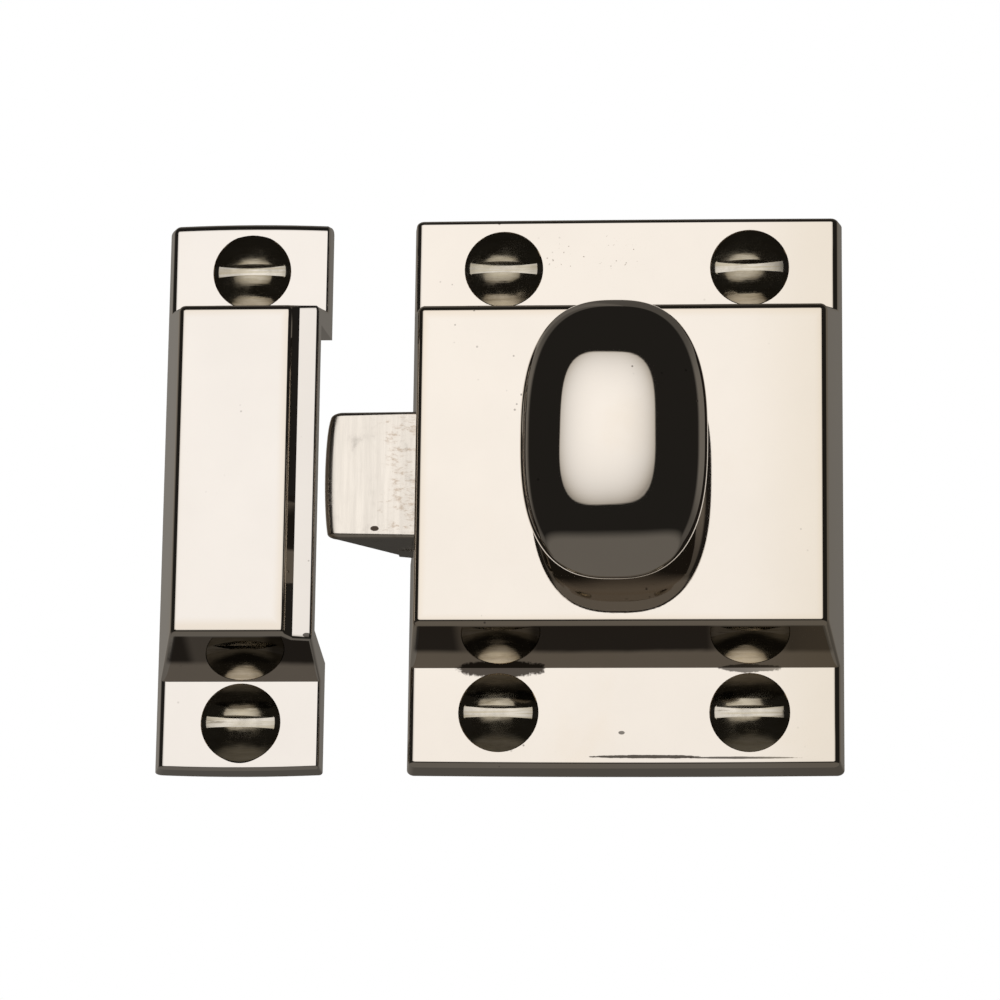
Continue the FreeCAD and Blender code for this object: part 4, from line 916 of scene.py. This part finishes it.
def coil_tree():
    """Round wire wound along the x axis."""
    tree, given = shape_tree("coil spring", "Coil radius", "Wire radius", "Turns", "Length",
                             "Start", "Height")
    spiral = add_node(tree, "GeometryNodeCurveSpiral")
    spiral.inputs["Resolution"].default_value = 40
    tall = minus(tree, given["Length"], times(tree, given["Wire radius"], 2.0))
    for label, value in (("Rotations", given["Turns"]), ("Start Radius", given["Coil radius"]),
                         ("End Radius", given["Coil radius"]), ("Height", tall)):
        feed(tree, spiral.inputs[label], value)
    ring = add_node(tree, "GeometryNodeCurvePrimitiveCircle")
    ring.inputs["Resolution"].default_value = 12
    feed(tree, ring.inputs["Radius"], given["Wire radius"])
    wire = add_node(tree, "GeometryNodeCurveToMesh")
    feed(tree, wire.inputs["Curve"], spiral.outputs["Curve"])
    feed(tree, wire.inputs["Profile Curve"], ring.outputs["Curve"])
    wire.inputs["Fill Caps"].default_value = True
    laid = add_node(tree, "GeometryNodeTransform")
    feed(tree, laid.inputs["Geometry"], wire.outputs["Mesh"])
    feed(tree, laid.inputs["Rotation"], joined(tree, 0.0, math.pi / 2, 0.0))
    feed(tree, laid.inputs["Translation"],
         joined(tree, plus(tree, given["Start"], given["Wire radius"]),
                times(tree, given["Height"], -1.0), 0.0))
    return end_tree(tree, given, laid.outputs["Geometry"])


class CATCH_OT_spring(bpy.types.Operator):
    """Coil spring behind the bolt"""
    bl_idname = "catch.spring"
    bl_label = "Spring"

    def execute(self, context):
        sizes = context.scene.catch_sizes
        low, high = (Vector(corner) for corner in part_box("bolt_spring"))
        values = {"Coil radius": sizes.coil_radius, "Wire radius": sizes.wire_radius,
                  "Turns": sizes.coil_turns, "Length": high.x - low.x, "Start": low.x,
                  "Height": -(low.y + high.y) / 2}
        material = turned_metal("spring wire", context.scene.catch_finishes.spring)
        mesh = outward(grown("coil_spring", coil_tree(), values, material))
        piece = new_piece("coil_spring", mesh, "case_body", "spring_steel", "bolt_spring")
        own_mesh(piece)
        return {"FINISHED"}


def floor_material(base):
    material = bpy.data.materials.new("pale floor")
    material.use_nodes = True
    shader = material.node_tree.nodes["Principled BSDF"]
    shader.inputs["Base Color"].default_value = (*base, 1.0)
    shader.inputs["Roughness"].default_value = 0.7
    return material


def aimed(azimuth, elevation, distance=1.0):
    """A point seen from the object; azimuth 0 is the front and positive is to the right."""
    a, e = math.radians(azimuth), math.radians(elevation)
    return Vector((math.sin(a) * math.cos(e), -math.cos(a) * math.cos(e), math.sin(e))) * distance


def studio_material(finishes):
    """Glow of the studio by direction: dark room, soft light in front, table below, room behind."""
    material = bpy.data.materials.new("studio")
    material.use_nodes = True
    tree = material.node_tree
    tree.nodes.clear()
    place = add_node(tree, "ShaderNodeTexCoord").outputs["Object"]
    unit = add_node(tree, "ShaderNodeVectorMath", operation="NORMALIZE")
    feed(tree, unit.inputs[0], place)
    axes = split(tree, unit.outputs[0])
    front = times(tree, axes["Y"], -1.0)
    azimuth = maths(tree, "DEGREES", maths(tree, "ARCTAN2", axes["X"], front))
    elevation = maths(tree, "DEGREES", maths(tree, "ARCSINE", axes["Z"]))

    def round_reach(middle, power):
        """How far a direction lies out from a middle, 1 at the softbox's outline."""
        across = maths(tree, "DIVIDE", apart(tree, azimuth, middle[0]), SOFTBOX["half_width"])
        along = maths(tree, "DIVIDE", apart(tree, elevation, middle[1]), SOFTBOX["half_height"])
        return plus(tree, maths(tree, "POWER", across, power), maths(tree, "POWER", along, power))

    # The softbox: a rounded shape whose light falls off from its brightest place.
    reach = round_reach((SOFTBOX["azimuth"], SOFTBOX["elevation"]), SOFTBOX["power"])
    inside = ramp(tree, reach, 0.94, 1.06, 1.0, 0.0)
    fall = round_reach(SOFTBOX["bright"], 2.0)
    fall = plus(tree, times(tree, fall, 0.36), times(tree, maths(tree, "POWER", fall, 3.0), 0.14))
    glow = maths(tree, "MAXIMUM", minus(tree, 1.0, fall), 0.3)
    box = times(tree, inside, glow, finishes.softbox)

    # The room behind: brighter to the left, darker high up; the table in front is low.
    back = times(tree, ramp(tree, absolute(tree, azimuth), 86.0, 101.0),
                 ramp(tree, elevation, -12.0, 10.0, finishes.behind * 0.52, finishes.behind))
    side = times(tree, ramp(tree, azimuth, -172.0, -150.0, 1.0, 1.6),
                 ramp(tree, azimuth, -130.0, -110.0, 1.0, 0.62),
                 ramp(tree, elevation, 22.0, 45.0, 1.0, 0.5))
    low = ramp(tree, elevation, -19.0, -30.0, 0.0, finishes.below)
    front = maths(tree, "MAXIMUM", low, finishes.surround)
    room = maths(tree, "MAXIMUM", times(tree, back, side), front)
    shine = add_node(tree, "ShaderNodeEmission")
    warmth = mixed(tree, ramp(tree, box, 0.2, 1.0), (1.0, 0.93, 0.83), (1.0, 0.985, 0.965))
    feed(tree, shine.inputs["Color"], warmth)
    feed(tree, shine.inputs["Strength"], maths(tree, "MAXIMUM", room, box))
    output = add_node(tree, "ShaderNodeOutputMaterial")
    tree.links.new(shine.outputs[0], output.inputs["Surface"])
    return material


def studio_shell(material):
    """A sphere round the object that only reflections see."""
    bm = bmesh.new()
    bmesh.ops.create_icosphere(bm, subdivisions=5, radius=1.2)
    mesh = bpy.data.meshes.new("studio_shell")
    bm.to_mesh(mesh)
    bm.free()
    mesh.materials.append(material)
    shell = placed("studio_shell", mesh)
    shell.visible_camera = False
    shell.visible_diffuse = False
    shell.visible_shadow = False
    shell.visible_transmission = False


class CATCH_OT_stage(bpy.types.Operator):
    """Floor, studio shell, light, world and camera"""
    bl_idname = "catch.stage"
    bl_label = "Stage"

    def execute(self, context):
        scene = context.scene
        scene.view_settings.view_transform = "Standard"
        bm = bmesh.new()
        bmesh.ops.create_grid(bm, x_segments=1, y_segments=1, size=3.0)
        mesh = bpy.data.meshes.new("floor")
        bm.to_mesh(mesh)
        bm.free()
        mesh.transform(Matrix.Translation((0.0, 0.0, -0.16)))
        mesh.materials.append(floor_material((0.88, 0.875, 0.86)))
        floor = placed("floor", mesh)
        floor.visible_glossy = False

        studio_shell(studio_material(scene.catch_finishes))

        world = bpy.data.worlds.new("studio")
        scene.world = world
        world.use_nodes = True
        tree = world.node_tree
        tree.nodes.clear()
        rays = add_node(tree, "ShaderNodeLightPath").outputs
        seen = maths(tree, "MAXIMUM", rays["Is Glossy Ray"], rays["Is Transmission Ray"])
        seen = maths(tree, "MAXIMUM", rays["Is Camera Ray"], seen)
        sky = add_node(tree, "ShaderNodeBackground")
        feed(tree, sky.inputs["Strength"], ramp(tree, seen, 0.0, 1.0, 0.55, 1.0))
        sky.inputs["Color"].default_value = (1.0, 1.0, 1.0, 1.0)
        output = add_node(tree, "ShaderNodeOutputWorld")
        tree.links.new(sky.outputs[0], output.inputs["Surface"])

        lamp_data = bpy.data.lights.new("key", "AREA")
        lamp_data.energy = 6.0
        lamp_data.size = 0.6
        lamp = placed("key", lamp_data)
        lamp.location = aimed(-15.0, 45.0, 0.95)
        lamp.rotation_mode = "QUATERNION"
        lamp.rotation_quaternion = lamp.location.to_track_quat("Z", "Y")
        lamp.visible_glossy = False

        camera_data = bpy.data.cameras.new("camera")
        camera_data.sensor_width = 36.0
        camera_data.lens = camera_data.sensor_width * CAMERA_LENS
        camera_data.clip_start = 0.01
        camera = placed("camera", camera_data)
        below, aside, roll = CAMERA_TURNS
        ahead = -aimed(aside, -below)
        right = aimed(aside + 90.0, 0.0)
        up = right.cross(ahead)
        roll = math.radians(roll)
        across = right * math.cos(roll) + up * math.sin(roll)
        above = up * math.cos(roll) - right * math.sin(roll)
        turned = Matrix((across, above, -ahead)).transposed().to_4x4()
        eye = Vector(CAMERA_TARGET) * MM - ahead * CAMERA_DISTANCE
        camera.matrix_world = Matrix.Translation(eye) @ turned
        scene.camera = camera
        return {"FINISHED"}


class CATCH_PT_panel(bpy.types.Panel):
    """Lists the catch's pieces in the sidebar"""
    bl_label = "Cupboard catch"
    bl_idname = "CATCH_PT_panel"
    bl_space_type = "VIEW_3D"
    bl_region_type = "UI"
    bl_category = "Catch"

    def draw(self, context):
        for operator in OPERATORS:
            self.layout.operator(operator.bl_idname)


OPERATORS = (CATCH_OT_stage, CATCH_OT_case, CATCH_OT_keeper, CATCH_OT_knob, CATCH_OT_bolt,
             CATCH_OT_wood_screws, CATCH_OT_inner_parts, CATCH_OT_spring)
CLASSES = (CatchSizes, CatchFinishes, *OPERATORS, CATCH_PT_panel)


def register():
    for cls in CLASSES:
        bpy.utils.register_class(cls)
    bpy.types.Scene.catch_sizes = PointerProperty(type=CatchSizes)
    bpy.types.Scene.catch_finishes = PointerProperty(type=CatchFinishes)


def unregister():
    del bpy.types.Scene.catch_finishes
    del bpy.types.Scene.catch_sizes
    for cls in reversed(CLASSES):
        bpy.utils.unregister_class(cls)


def main():
    register()
    for operator in OPERATORS:
        group, name = operator.bl_idname.split(".")
        result = getattr(getattr(bpy.ops, group), name)()
        if result != {"FINISHED"}:
            raise RuntimeError(operator.bl_label + " was not finished")


if __name__ == "__main__":
    main()
